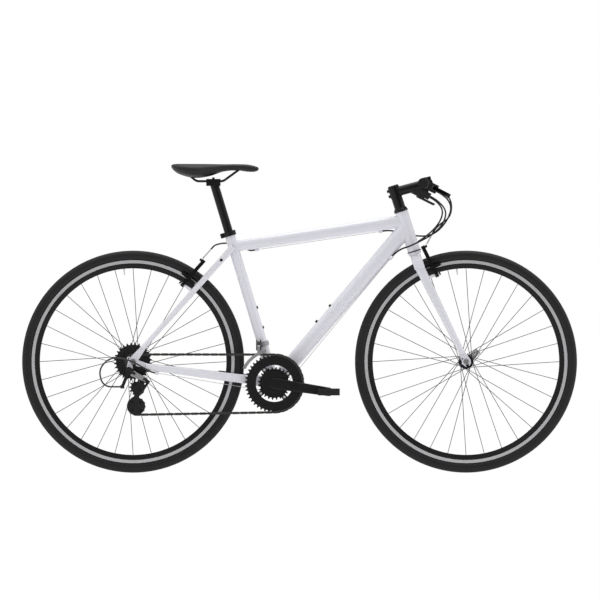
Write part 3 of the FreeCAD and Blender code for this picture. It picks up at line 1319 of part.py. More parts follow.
def stem():
    """Stem with its split clamps, the spacers and bearing cap under it and the cap on top."""
    clamp = cylinder("stem_clamp", "stem_clamp_diameter / 2", "stem_clamp_height", STEM_FOOT, STEER_UP)
    neck_way = polar(size("stem_rise"))
    neck = cylinder("stem_neck", "stem_neck_diameter / 2", "stem_length", STEM_MIDDLE, neck_way)
    shell = cylinder("bar_clamp", "bar_clamp_diameter / 2 + bar_clamp_wall", "bar_clamp_width", BAR_MIDDLE,
                     centred=True)
    column = cylinder("stem_bore", "steerer_diameter / 2 + fit_gap", "2 * stem_clamp_height",
                      STEM_MIDDLE, STEER_UP, True)
    grip_bore = cylinder("bar_clamp_bore", "bar_clamp_diameter / 2 + fit_gap", "2 * bar_clamp_width",
                         BAR_MIDDLE,
                         centred=True)
    reach = size("bar_clamp_diameter + 2 * bar_clamp_wall")
    split_place = placed(BAR_MIDDLE, neck_way)
    split = block("clamp_split", (reach, reach, 2), placed(BAR_MIDDLE, neck_way))
    front = block("clamp_front", (2 * reach, 2 * reach, reach), split_place, (True, True, False))
    whole = cut("stem_whole", fuse("stem_joined", clamp, neck, shell), column, grip_bore)
    plate_front = doc.addObject("Part::Common", "faceplate_raw")
    plate_front.Base = whole
    plate_front.Tool = front
    pieces = [cut("stem_body", whole, front, split), cut("faceplate", plate_front, split)]
    foot = HEAD_TOP + STEER_UP * size("headset_lip + part_gap")
    pieces.append(turned("bearing_cap", [
        ("steerer_diameter / 2 + fit_gap", 0), ("headset_diameter / 2", 0), ("headset_diameter / 2", 2),
        ("stem_clamp_diameter / 2", "headset_cap_height"),
        ("steerer_diameter / 2 + fit_gap", "headset_cap_height")], placed(foot, STEER_UP)))
    count = round(size("spacer_count"))
    for number in range(count):
        start = foot + STEER_UP * size(f"headset_cap_height + {number} * spacer_stack / spacer_count")
        pieces.append(turned(f"spacer_{number}", [
            ("steerer_diameter / 2 + fit_gap", 0), ("stem_clamp_diameter / 2 - 1", 0),
            ("stem_clamp_diameter / 2 - 1", "spacer_stack / spacer_count - fit_gap"),
            ("steerer_diameter / 2 + fit_gap", "spacer_stack / spacer_count - fit_gap")],
            placed(start, STEER_UP)))
    pieces.append(turned("top_cap", [
        (0, 0), ("stem_clamp_diameter / 2 - 1", 0), ("stem_clamp_diameter / 2 - 1", 3),
        ("stem_clamp_diameter / 2 - 4", 5), (0, 5)], placed(STEM_TOP, STEER_UP)))
    solid = doc.getObject("stem_joined")

    def screw(name, spot, way):
        bar = cylinder(f"{name}_bar", "cap_screw_diameter / 2", "2 * cap_screw_height",
                       spot - way * size("cap_screw_height"), way)
        pieces.append(cut(name, bar, solid))

    for across in (-1, 1):
        for up in (-1, 1):
            spot = split_place.multVec(Vector(up * (reach / 2 - 5),
                                              across * size("bar_clamp_width / 2 - 8"), 0))
            depth = math.sqrt((reach / 2) ** 2 - (reach / 2 - 5) ** 2)
            screw(f"faceplate_screw_{across}_{up}", spot + neck_way * depth, neck_way)
    for up in (-1, 1):
        spot = STEM_MIDDLE + STEER_UP * up * size("stem_clamp_height / 4")
        spot -= STEER_AHEAD * size("stem_clamp_diameter / 2")
        screw(f"pinch_screw_{up}", spot, STEER_AHEAD * -1)
    node("stem", *pieces)


def bar_line(side):
    """End of the bar's straight middle, and the tip of the bar, on one side."""
    bend = BAR_MIDDLE + SIDEWAYS * side * size("bar_straight / 2")
    tip = BAR_MIDDLE + SIDEWAYS * side * size("bar_width / 2") - FORWARD * size("bar_sweep")
    return bend, tip


def handlebar():
    """Flat bar, a little swept back, thicker where the stem holds it."""
    route = [bar_line(-1)[1], bar_line(-1)[0], bar_line(1)[0], bar_line(1)[1]]
    outside = pipe("bar_outside", route, "bar_diameter / 2", 120)
    inside = pipe("bar_inside", route, "bar_diameter / 2 - bar_wall", 120)
    half = "bar_bulge / 2"
    bulge = turned("bar_bulge_sleeve", both_sides([
        (0, half), ("bar_diameter / 2", half), ("bar_clamp_diameter / 2", f"{half} - 18")]),
        placed(BAR_MIDDLE, SIDEWAYS))
    node("handlebar", cut("bar", fuse("bar_joined", outside, bulge), inside))


def grips():
    """Closed rubber grips with a collar at the inner end."""
    made = []
    for side, label in ((-1, "right"), (1, "left")):
        bend, tip = bar_line(side)
        inward = (bend - tip).normalize()
        made.append(turned(f"{label}_grip", [
            ("bar_diameter / 2 + fit_gap", 0), (0, 0), (0, -3), ("grip_diameter / 2 - 2", -3),
            ("grip_diameter / 2", -1), ("grip_diameter / 2", 6), ("grip_diameter / 2 - 1.5", 9),
            ("grip_diameter / 2 - 1.5", "grip_length - 9"), ("grip_diameter / 2 + 2", "grip_length - 5"),
            ("grip_diameter / 2 + 2", "grip_length"), ("bar_diameter / 2 + fit_gap", "grip_length")],
            placed(tip, inward, FORWARD)))
    node("grips", *made)


LEVER_WAY = polar(-size("lever_droop"))


def control_place():
    """Left bracket's placement on the bar: X ahead along the lever, Y out along the bar, Z up."""
    bend, tip = bar_line(1)
    along = (tip - bend).normalize()
    centre = tip - along * size("grip_length + control_gap")
    return Placement(centre, Rotation(LEVER_WAY, along, Vector(), "YXZ"))


def local_block(name, place, low, high):
    """Box between two corners given in a placement's own axes."""
    low, high = Vector(*low), Vector(*high)
    spread = high - low
    return block(name, (spread.x, spread.y, spread.z), place * Placement(low, Rotation()), (False,) * 3)


def local_cylinder(name, place, radius, low, height):
    """Round bar along a placement's own Z, from a point in its axes."""
    return cylinder(name, radius, height, place.multVec(Vector(*low)), place.Rotation.multVec(UP))


def controls():
    """Brake lever brackets with the shifter housings under them, and every lever on them."""
    place = control_place()
    along = place.Rotation.multVec(Vector(0, 1, 0))
    ring = cylinder("left_control_ring", "bar_diameter / 2 + control_ring_wall", "control_ring", place.Base,
                    along, True)
    ahead, inward = size("lever_pivot_ahead"), -size("lever_pivot_inward")
    tall, slot = size("bracket_height / 2"), size("lever_thickness / 2 + part_gap")
    arm = local_block("left_bracket_arm", place, (0, inward - 12, -tall), (ahead + 8, 4, tall))
    gap = local_block("left_lever_slot", place, (ahead - 9, inward - 13, -slot), (ahead + 20, 10, slot))
    long_half, wide_half = size("pod_length / 2"), size("pod_width / 2")
    pod_low, pod_high = -size("pod_drop + pod_height / 2"), -size("pod_drop - pod_height / 2")
    pod = local_block("left_pod", place, (-long_half + 6, inward - wide_half, pod_low),
                      (long_half + 6, inward + wide_half, pod_high))
    neck = local_block("left_pod_neck", place, (-8, inward - 11, pod_high), (20, inward + 9, 0))
    bore = cylinder("left_control_bore", "bar_diameter / 2 + fit_gap", "4 * control_ring", place.Base,
                    along, True)
    bracket = cut("left_bracket", fuse("left_bracket_joined", ring, arm, pod, neck), gap, bore)
    pin = local_cylinder("left_lever_pin", place, "lever_pin / 2", (ahead, inward, -slot), 2 * slot)
    stack = size("2 * shift_lever_thickness + 3 * part_gap")
    shift_pin = local_cylinder("left_shift_pin", place, "shift_pin / 2", (6, inward, pod_low - stack), stack)
    left = [bracket, pin, shift_pin]
    right = [mirrored(piece.Name.replace("left", "right"), piece) for piece in left]
    node("control_brackets", *left, *right)
    lever = brake_lever(place)
    node("left_brake_lever", lever)
    node("right_brake_lever", mirrored("right_lever_mirror", lever))
    thick = size("shift_lever_thickness + part_gap")
    thumb = shift_lever("left_thumb", place, pod_low - thick, inward,
                        [(-6, -8), (-34, 4), (-40, 18), (-30, 20), (-4, 9)])
    trigger = shift_lever("left_trigger", place, pod_low - 2 * thick, inward,
                          [(4, 9), (38, 18), (50, 20), (48, 8), (6, -8)])
    for name, piece in (("thumb_lever", thumb), ("trigger_lever", trigger)):
        node(f"left_{name}", piece)
        node(f"right_{name}", mirrored(f"right_{name}_mirror", piece))


def brake_lever(place):
    """Four-finger lever blade with a ball at its tip, on its pivot eye."""
    ahead, inward = size("lever_pivot_ahead"), -size("lever_pivot_inward")
    half = size("lever_thickness / 2")
    outline = [(-6, -6), (6, -6), (20, 8), (36, 44), (55, 108), (50, 117), (43, 112), (27, 50), (14, 22),
               (0, 8), (-7, 3)]
    points = [(ahead + x, inward + y) for x, y in outline]
    blade = plate("left_lever_blade", points, "lever_thickness",
                  place * Placement(Vector(0, 0, -half), Rotation()))
    ball = local_cylinder("left_lever_ball", place, 7, (ahead + 50, inward + 115, -half), "lever_thickness")
    bore = local_cylinder("left_lever_bore", place, "lever_pin / 2 + fit_gap", (ahead, inward, -20), 40)
    return cut("left_lever", fuse("left_lever_joined", blade, ball), bore)


def shift_lever(name, place, low, inward, paddle):
    """Small lever that turns on the pin under a shifter housing."""
    points = [(6 + x, inward + y) for x, y in paddle]
    blade = plate(f"{name}_blade", points, "shift_lever_thickness",
                  place * Placement(Vector(0, 0, low), Rotation()))
    eye = local_cylinder(f"{name}_eye", place, 12, (6, inward, low), "shift_lever_thickness")
    bore = local_cylinder(f"{name}_bore", place, "shift_pin / 2 + fit_gap", (6, inward, low - 10), 30)
    return cut(f"{name}_lever", fuse(f"{name}_joined", blade, eye), bore)


bearings()
fork()
stem()
handlebar()
grips()
controls()
brake_arm("front_brake_right_arm", FRONT_BRAKE, 1)
brake_arm("front_brake_left_arm", FRONT_BRAKE, -1, "front_noodle_lean")
brake_arm("rear_brake_right_arm", REAR_BRAKE, -1)
brake_arm("rear_brake_left_arm", REAR_BRAKE, 1, "rear_noodle_lean")


GUIDE = PATH.centres[2] - SIDEWAYS * size("chain_line")
TENSION = PATH.centres[3] - SIDEWAYS * size("chain_line")
CAGE_PIVOT = GUIDE + Vector(10, 0, 8)
BODY_REACH = 17
BARREL = Vector(-20, 0, -50)
LINK_WAY = polar(-size("link_slope"))
LINK_NORMAL = polar(90 - size("link_slope"))
SLANT = math.radians(size("link_slant"))
LINK_AXIS = LINK_NORMAL * math.cos(SLANT) + SIDEWAYS * math.sin(SLANT)
BODY_PIVOT = Vector(hanger_point().x, -size("knuckle_offset"), hanger_point().z) + LINK_WAY * BODY_REACH
LINK_REST = Rotation(LINK_AXIS, size("link_start")).multVec(LINK_WAY)
KNUCKLE_PIVOT = BODY_PIVOT + LINK_REST * size("link_length")


def link_bar(name, start, stop, axis, height, thickness):
    """Link of a parallelogram: a bar between two pivots, its ends slotted for the eyes of its neighbours."""
    along = (stop - start).normalize()
    place = placed((start + stop) / 2, axis, along)
    reach = (stop - start).Length
    bar = block(f"{name}_bar", (reach + size("link_eye"), thickness, height), place)
    eyes, slots, pins = [], [], []
    for number, point in enumerate((start, stop)):
        eyes.append(cylinder(f"{name}_eye_{number}", "link_eye / 2", height, point, axis, True))
        slots.append(cylinder(f"{name}_slot_{number}", "link_eye / 2 + 1.5", "tongue_height + 2 * part_gap",
                              point, axis, True))
        pins.append(cylinder(f"{name}_pin_{number}", "pivot_pin / 2", height, point, axis, True))
    return fuse(name, cut(f"{name}_slotted", fuse(f"{name}_blank", bar, *eyes), *slots), *pins)


def tongue(name, pivots, reaches, axis):
    """Flat lug from a knuckle to the eyes of two links, and the bores for their pins."""
    pieces, bores = [], []
    for number, (point, reach) in enumerate(zip(pivots, reaches)):
        eye = (point, axis, True)
        pieces.append(cylinder(f"{name}_eye_{number}", "link_eye / 2", "tongue_height", *eye))
        bores.append(cylinder(f"{name}_bore_{number}", "pivot_pin / 2 + fit_gap", "2 * tongue_height", *eye))
        pieces.append(block(f"{name}_web_{number}", (reach.Length, "link_eye", "tongue_height"),
                            placed(point, axis, reach), (False, True, True)))
    return pieces, bores


def rear_derailleur():
    """Slant parallelogram: body on the hanger, two links, the knuckle, the cage and its pulleys."""
    spread = SIDEWAYS * size("link_spacing / 2")
    hanger = hanger_point()
    outside = size("rear_hub_width / 2 + dropout_thickness + part_gap")
    length = size("knuckle_offset + knuckle_diameter / 2") - outside
    drum = cylinder("derailleur_drum", "knuckle_diameter / 2", length, Vector(hanger.x, -outside, hanger.z),
                    -SIDEWAYS)
    webs, bores = tongue("body_tongue", (BODY_PIVOT - spread, BODY_PIVOT + spread),
                         (LINK_WAY * -BODY_REACH,) * 2,
                         LINK_AXIS)
    barrel = Vector(hanger.x, -size("knuckle_offset"), hanger.z) + BARREL
    webs.append(cylinder("barrel_adjuster", "stop_diameter / 2", "stop_length", barrel, FORWARD, True))
    webs.append(block("barrel_lug", (BARREL.Length, 10, 8), placed(barrel, SIDEWAYS, BARREL * -1),
                      (False, True, True)))
    bolt = cylinder("hanger_bolt", "hanger_bore / 2 - fit_gap", size("dropout_thickness + part_gap"),
                    Vector(hanger.x, -outside, hanger.z), SIDEWAYS)
    node("rear_derailleur_body",
         cut("derailleur_body", fuse("derailleur_body_joined", drum, bolt, *webs), *bores))
    for label, side in (("outer", -1), ("inner", 1)):
        node(f"rear_derailleur_{label}_link", link_bar(
            f"rear_{label}_link", BODY_PIVOT + spread * side, KNUCKLE_PIVOT + spread * side, LINK_AXIS,
            "link_height", "link_thickness"))
    cage_face = size("chain_line + cage_width / 2 + cage_plate + part_gap")
    root = Vector(CAGE_PIVOT.x, KNUCKLE_PIVOT.y, CAGE_PIVOT.z)
    webs, bores = tongue("knuckle_tongue", (KNUCKLE_PIVOT - spread, KNUCKLE_PIVOT + spread),
                         (LINK_WAY * 14,) * 2,
                         LINK_AXIS)
    fall = (root - KNUCKLE_PIVOT).dot(LINK_NORMAL)
    elbow = placed(KNUCKLE_PIVOT, LINK_NORMAL, LINK_WAY)
    deep = size("link_spacing / 2 + link_eye / 2")
    webs.append(local_block("knuckle_post", elbow, (8, -deep, fall - 4), (16, deep, 6)))
    webs.append(local_block("knuckle_foot", elbow, (-4, -deep, fall - 4), (16, deep, fall + 8)))
    depth = -KNUCKLE_PIVOT.y + size("link_spacing / 2") - cage_face
    drum = cylinder("knuckle_drum", "knuckle_diameter / 2", depth, Vector(root.x, -cage_face, root.z),
                    -SIDEWAYS)
    bores.append(cylinder("knuckle_bore", "cage_spindle / 2 + fit_gap", depth - 4,
                          Vector(root.x, -cage_face, root.z),
                          -SIDEWAYS))
    node("rear_derailleur_knuckle", cut("knuckle", fuse("knuckle_joined", drum, *webs), *bores))
    derailleur_cage(depth)
    for label, centre, teeth, wheel in (("guide", GUIDE, GUIDE_TEETH, 2),
                                        ("tension", TENSION, TENSION_TEETH, 3)):
        half = size("pulley_width / 2")
        shape = toothed_disc(teeth, PATH.phase(wheel), size("tooth_thickness"))
        shape = shape.fuse(disc(size("pulley_hub / 2"), -half, half))
        shape = shape.cut(disc(size("pulley_bolt / 2 + fit_gap"), -20, 20))
        node(f"{label}_pulley", feature(f"{label}_wheel", shape, drive_place(centre)))


def derailleur_cage(depth):
    """Two cage plates joined by the pulley bolts, and the spindle that turns in the knuckle."""
    along = (TENSION - GUIDE).normalize()
    reach = (TENSION - GUIDE).Length
    round_top, round_low = size("cage_guide_radius"), size("cage_tension_radius")
    pieces = []
    for label, face in (("outer", -size("chain_line + cage_width / 2 + cage_plate")),
                        ("inner", -size("chain_line - cage_width / 2"))):
        start = Vector(GUIDE.x, face, GUIDE.z)
        end = Vector(TENSION.x, face, TENSION.z)
        place = placed(start, SIDEWAYS, along)
        low = round_low if label == "outer" else round_low * 0.5
        waist = min(round_top, low) * 0.75
        web = block(f"{label}_cage_web", (reach, 2 * waist, "cage_plate"), place, (False, True, False))
        discs = [cylinder(f"{label}_cage_top", "cage_guide_radius", "cage_plate", start, SIDEWAYS),
                 cylinder(f"{label}_cage_low", low, "cage_plate", end, SIDEWAYS)]
        if label == "outer":
            pivot = Vector(CAGE_PIVOT.x, face, CAGE_PIVOT.z)
            discs.append(cylinder("cage_pivot_disc", "cage_guide_radius", "cage_plate", pivot, SIDEWAYS))
        plate_blank = fuse(f"{label}_cage_blank", web, *discs)
        if label == "outer":
            holes = [cylinder(f"cage_hole_{number}", round_low * 0.17, 10,
                              end + polar(45 + 90 * number, round_low * 0.66)
                              - SIDEWAYS * 5, SIDEWAYS) for number in range(4)]
            plate_blank = cut("outer_cage_plate", plate_blank, *holes)
        pieces.append(plate_blank)
    low, span = -size("chain_line + cage_width / 2"), size("cage_width")
    for label, centre in (("guide", GUIDE), ("tension", TENSION)):
        pieces.append(cylinder(f"{label}_pulley_bolt", "pulley_bolt / 2", span,
                               Vector(centre.x, low, centre.z), SIDEWAYS))
    face = -size("chain_line + cage_width / 2 + cage_plate")
    pieces.append(cylinder("cage_spindle", "cage_spindle / 2", depth - 4,
                           Vector(CAGE_PIVOT.x, face, CAGE_PIVOT.z), -SIDEWAYS))
    node("rear_derailleur_cage", *pieces)


FRONT_LINK = Rotation(FORWARD, -size("front_link_start")).multVec(-UP)
FRONT_BODY_PIVOT = BB + SEAT_UP * size("front_band_height") + Vector(-12, -40, 9)
FRONT_CAGE_PIVOT = FRONT_BODY_PIVOT + FRONT_LINK * size("front_link_length")
FRONT_SPREAD = Vector(0, 13, -5)


def front_derailleur():
    """Band on the seat tube, two links and the cage that straddles the chain."""
    band_foot = BB + SEAT_UP * size("front_band_height - front_band_length / 2")
    radius = "seat_tube_od / 2 + front_band_wall"
    band = cylinder("front_band", radius, "front_band_length", band_foot, SEAT_UP)
    bore = cylinder("front_band_bore", "seat_tube_od / 2 + fit_gap", "5 * front_band_length",
                    BB + SEAT_UP * size("front_band_height"), SEAT_UP, True)
    pivots = (FRONT_BODY_PIVOT, FRONT_BODY_PIVOT + FRONT_SPREAD)
    webs, bores = tongue("front_body", pivots, (Vector(0, 28, 0), Vector(0, 16, 0)), FORWARD)
    node("front_derailleur_band", cut("front_band_cut", fuse("front_band_joined", band, *webs), bore, *bores))
    for label, start in (("outer", pivots[0]), ("inner", pivots[1])):
        stop = start + FRONT_LINK * size("front_link_length")
        node(f"front_derailleur_{label}_link",
             link_bar(f"front_{label}_link", start, stop, FORWARD, "link_height", 4))
    front_cage()


def ring_sector(low, high, first, last, thickness):
    """Flat piece of a ring between two radii and two angles (degrees), from Z zero up."""
    angles = [math.radians(angle) for angle in (first, (first + last) / 2, last)]
    inner, outer = ([flat_polar(angle, radius) for angle in angles] for radius in (low, high))
    edges = [Part.Arc(*inner).toShape(), Part.LineSegment(inner[2], outer[2]).toShape(),
             Part.Arc(*outer).toShape(), Part.LineSegment(outer[0], inner[0]).toShape()]
    return Part.Face(Part.Wire(Part.__sortEdges__(edges))).extrude(Vector(0, 0, thickness))


def front_cage():
    """Curved inner and outer plates that follow the large ring, their bridges and the lug for the links."""
    low = size("front_cage_inner")
    high = low + size("front_cage_depth")
    gap, wall = size("front_cage_gap / 2"), size("cage_plate")
    first, last = 104, 154
    shape = ring_sector(low, high, first, last, wall).translated(Vector(0, 0, gap))
    shape = shape.fuse(ring_sector(low, high, first, last, wall).translated(Vector(0, 0, -gap - wall)))
    for start, stop in ((first, first + 13), (last - 5, last)):
        shape = shape.fuse(ring_sector(high - wall, high, start, stop,
                                       2 * gap + wall).translated(Vector(0, 0, -gap - wall / 2)))
    cage = feature("front_cage_plates", shape, drive_place(BB))
    pivots = (FRONT_CAGE_PIVOT, FRONT_CAGE_PIVOT + FRONT_SPREAD)
    webs, bores = tongue("front_cage_lug", pivots, (Vector(0, -4, -15), Vector(0, -2, -11)), FORWARD)
    node("front_derailleur_cage", cut("front_cage", fuse("front_cage_joined", cage, *webs), *bores))


QUICK_ANGLES = {"front": 45, "rear": 20}


def quick_levers():
    """Lever of each quick release: an ear beside the cam housing and a blade that swings out."""
    for label, axle_point in (("front", FRONT_AXLE), ("rear", REAR_AXLE)):
        half = f"{label}_hub_width / 2 + dropout_thickness"
        pivot = axle_point + SIDEWAYS * size(f"{half} + skewer_nut_length / 2")
        blade_way = polar(QUICK_ANGLES[label])
        pin_way = SIDEWAYS.cross(blade_way)
        place = Placement(pivot, Rotation(blade_way, pin_way, Vector(), "XYZ"))
        inner = size("skewer_nut_diameter / 2 + part_gap")
        thick, width = size("quick_lever_thickness"), size("quick_lever_width")
        start = size("skewer_nut_diameter / 2") + 4
        ear = cylinder(f"{label}_quick_ear", 6, thick, pivot + pin_way * inner, pin_way)
        arm = local_block(f"{label}_quick_arm", place, (0, inner, -thick / 2),
                          (start + 6, inner + thick, thick / 2))
        blade = local_block(f"{label}_quick_blade", place, (start, inner + thick - width, -thick / 2),
                            (size("quick_lever_length"), inner + thick, thick / 2))
        node(f"{label}_quick_lever", fuse(f"{label}_quick_joined", ear, arm, blade))


rear_derailleur()
front_derailleur()
quick_levers()


SEAT_HEAD = SEAT_TOP + SEAT_UP * size("seatpost_rise")


def seatpost():
    """Hollow post with its rail cradle, the clamp's upper half and the bolt."""
    foot = SEAT_TOP - SEAT_UP * size("seatpost_insertion")
    length = "seatpost_insertion + seatpost_rise - rail_diameter / 2 - 6"
    skin = cylinder("post_skin", "seatpost_diameter / 2", length, foot, SEAT_UP)
    bore = cylinder("post_bore", "seatpost_diameter / 2 - seatpost_wall", f"{length} - 12", foot, SEAT_UP)
    level = placed(SEAT_HEAD, UP)
    lower = block("cradle_lower", ("cradle_length", "cradle_width", "cradle_depth"),
                  level * Placement(Vector(0, 0, -size("cradle_depth") - 0.5), Rotation()),
                  (True, True, False))
    upper = block("cradle_upper", ("cradle_length", "cradle_width", 6),
                  level * Placement(Vector(0, 0, 4), Rotation()))
    grooves = [cylinder(f"rail_groove_{side}", "rail_diameter / 2 + fit_gap", "2 * cradle_length",
                        SEAT_HEAD + SIDEWAYS * side * size("rail_spacing / 2"), FORWARD,
                        True) for side in (-1, 1)]
    head = cut("post_head", fuse("post_joined", cut("post_tube", skin, bore), lower), *grooves)
    bolt = cylinder("cradle_bolt", 4, 5, SEAT_HEAD + UP * 7, UP)
    node("seatpost", head, cut("cradle_cap", upper, *grooves), bolt)


def rails():
    """Two bent rails: straight through the cradle, rising to the nose and to the rear of the saddle."""
    made = []
    profile = [(-72, 16), (-52, 0), (30, 0), (88, 42)]
    for side, label in ((-1, "right"), (1, "left")):
        offset = SIDEWAYS * side * size("rail_spacing / 2")
        points = [SEAT_HEAD + offset + Vector(x, 0, z) for x, z in profile]
        points[-1] -= SIDEWAYS * side * 12
        made.append(pipe(f"{label}_rail", points, "rail_diameter / 2", 22))
    node("saddle_rails", *made)
    return made


def saddle_section(station, width, low, side_low, top):
    """One cross section of the saddle: a crowned top, sides drawn in below and a flat underside."""
    half = width / 2
    edge = low + (top - low) * 0.5
    left, right = Vector(station, half, edge), Vector(station, -half, edge)
    base_left, base_right = Vector(station, half * side_low, low), Vector(station, -half * side_low, low)
    return Part.Wire([Part.Arc(left, Vector(station, 0, top), right).toShape(),
                      Part.LineSegment(right, base_right).toShape(),
                      Part.LineSegment(base_right, base_left).toShape(),
                      Part.LineSegment(base_left, left).toShape()])


def saddle(rail_bars):
    """Padded saddle: broad and full at the rear, narrow at the nose, with sockets for the rails' ends."""
    length, wide = size("saddle_length"), size("saddle_width")
    rear = SEAT_HEAD.x - length * 0.48
    shares = ((0.0, 0.5, 40, 50), (0.05, 0.76, 28, 53.5), (0.14, 0.95, 17, 54), (0.28, 1.0, 10, 54),
              (0.44, 0.7, 16, 53.7), (0.6, 0.43, 30, 53.5), (0.77, 0.34, 33, 53), (0.89, 0.28, 29, 51),
              (0.96, 0.21, 30, 46.5), (1.0, 0.11, 34, 41))
    sections = [saddle_section(rear + share * length, wide * broad, SEAT_HEAD.z + low, 0.8, SEAT_HEAD.z + top)
                for share, broad, low, top in shares]
    node("saddle",
         cut("saddle_pad", feature("saddle_blank", Part.makeLoft(sections, True, False)), *rail_bars))


def seat_clamp():
    """Collar on the seat tube's top, with its ears and bolt at the rear."""
    foot = SEAT_TOP - SEAT_UP * size("seat_clamp_height - 2")
    outer, inner = "seat_tube_od / 2 + seat_clamp_wall", "seat_tube_od / 2 + fit_gap"
    ring = cylinder("clamp_ring", outer, "seat_clamp_height", foot, SEAT_UP)
    bore = cylinder("clamp_bore", inner, "3 * seat_clamp_height", foot - SEAT_UP * 10, SEAT_UP)
    middle = foot + SEAT_UP * size("seat_clamp_height / 2") - SEAT_AHEAD * size(outer)
    place = placed(middle, SEAT_UP, SEAT_AHEAD)
    ears = block("clamp_ears", (14, 16, "seat_clamp_height"), place)
    slot = block("clamp_slot", (30, 2, "2 * seat_clamp_height"), place)
    hole = cylinder("clamp_bolt_hole", 2.6, 40, middle - SEAT_AHEAD * 2.5, SIDEWAYS, True)
    collar = cut("clamp_collar", fuse("clamp_joined", ring, ears), bore, slot, hole)
    bolt = cylinder("clamp_bolt", 2.5, 24, middle - SEAT_AHEAD * 2.5, SIDEWAYS, True)
    node("seat_clamp", collar, bolt)


seatpost()
saddle(rails())
seat_clamp()


def bolts():
    """Bottle bolts on the seat and down tubes and rack bolts on the seatstays, seated on the tubes."""
    made = []
    spacing = size("bottle_spacing")
    down_way = (DOWN_END - BB).normalize()
    down_face = Vector(-down_way.z, 0, down_way.x)
    seat_skin, down_skin = doc.getObject("seat_tube_skin"), doc.getObject("down_tube_skin")
    for number in range(2):
        spot = BB + SEAT_UP * (size("seat_tube_bottle") + spacing * number)
        made.append(cut(f"seat_tube_bolt_{number}", cylinder(
            f"seat_tube_bolt_bar_{number}", "boss_bolt_diameter / 2", "seat_tube_od / 2 + boss_bolt_height",
            spot, SEAT_AHEAD), seat_skin))
        spot = BB + down_way * (size("down_tube_bottle") + spacing * number)
        made.append(cut(f"down_tube_bolt_{number}", cylinder(
            f"down_tube_bolt_bar_{number}", "boss_bolt_diameter / 2",
            "down_tube_height / 2 + boss_bolt_height",
            spot, down_face), down_skin))
    for side, label in ((-1, "right"), (1, "left")):
        skin = doc.getObject(f"{label}_seatstay_skin")
        spot = SEAT_CLUSTER - SEATSTAY_UP * size("rack_bolt_drop")
        spot += SIDEWAYS * side * size("seatstay_top_offset + 5")
        made.append(cut(f"{label}_rack_bolt", cylinder(
            f"{label}_rack_bolt_bar", "boss_bolt_diameter / 2", "seatstay_width / 2 + boss_bolt_height", spot,
            SIDEWAYS * side), skin))
    node("frame_bolts", *made)


def housing(name, *points):
    """Cable housing through points."""
    return pipe(name, points, "housing_diameter / 2")


def wire(name, *points):
    """Bare inner wire through points."""
    return pipe(name, points, "wire_diameter / 2")


def brake_wire(label, place, noodle_side):
    """Wire from the noodle's inner end to the clamp bolt of the other arm."""
    start = noodle_points(place, noodle_side, f"{label}_noodle_lean")[0]
    other = arm_tip(place, -noodle_side) + place.Rotation.multVec(SIDEWAYS) * size("noodle_diameter / 2")
    way = (other - start).normalize()
    stop = other - way * size("cable_bolt_diameter / 2")
    return cylinder(f"{label}_brake_wire", "wire_diameter / 2", (stop - start).Length, start, way)


def frame_cables():
    """Wires along the tubes, the rear brake's housing and the housing loop to the rear derailleur."""
    reach = size("stop_length / 2")
    way = (TOP_STOPS[0] - TOP_STOPS[1]).normalize()
    start, stop = TOP_STOPS[1] - way * reach, TOP_STOPS[0] + way * reach
    top = cylinder("top_tube_wire", "wire_diameter / 2", (stop - start).Length, start, way)
    noodle = noodle_points(REAR_BRAKE, 1, "rear_noodle_lean")
    rear_way = (noodle[2] - noodle[1]).normalize()
    rear = housing("rear_brake_housing", start, start - way * 14, Vector(-176, 28, 694),
                   Vector(-204, 30, 707),
                   Vector(-236, 40, 710), noodle[2] + rear_way * 16, noodle[2])
    down_way = (DOWN_END - BB).normalize()
    ends = [point + down_way * reach for point in DOWN_STOPS]
    stay_end = CHAINSTAY_STOP - SHIFT_WAY * reach
    shift = wire("rear_shift_wire", ends[0], DOWN_STOPS[0] - down_way * 40, CABLE_FLOOR + Vector(18, -8, 0),
                 SHIFT_TURN, stay_end)
    band_end = FRONT_BODY_PIVOT + FRONT_SPREAD + Vector(0, 3, -6.5)
    front = wire("front_shift_wire", ends[1], DOWN_STOPS[1] - down_way * 40, CABLE_FLOOR + Vector(18, 8, 0),
                 CABLE_FLOOR + Vector(-24, 4, 0), BB + Vector(-33, -6, 30), band_end)
    axle_point = REAR_AXLE - SIDEWAYS * size("knuckle_offset")
    barrel = hanger_point() + BARREL - FORWARD * reach
    barrel.y = -size("knuckle_offset")
    loop = housing("rear_shift_housing", stay_end, stay_end - SHIFT_WAY * 10,
                   axle_point + Vector(40, -5, -22),
                   axle_point + Vector(-10, -8, 6), axle_point + Vector(-66, -6, 16),
                   axle_point + Vector(-106, -3, -22),
                   axle_point + Vector(-92, 0, barrel.z - REAR_AXLE.z), barrel)
    node("frame_cables", top, rear, shift, front, loop, brake_wire("rear", REAR_BRAKE, 1))


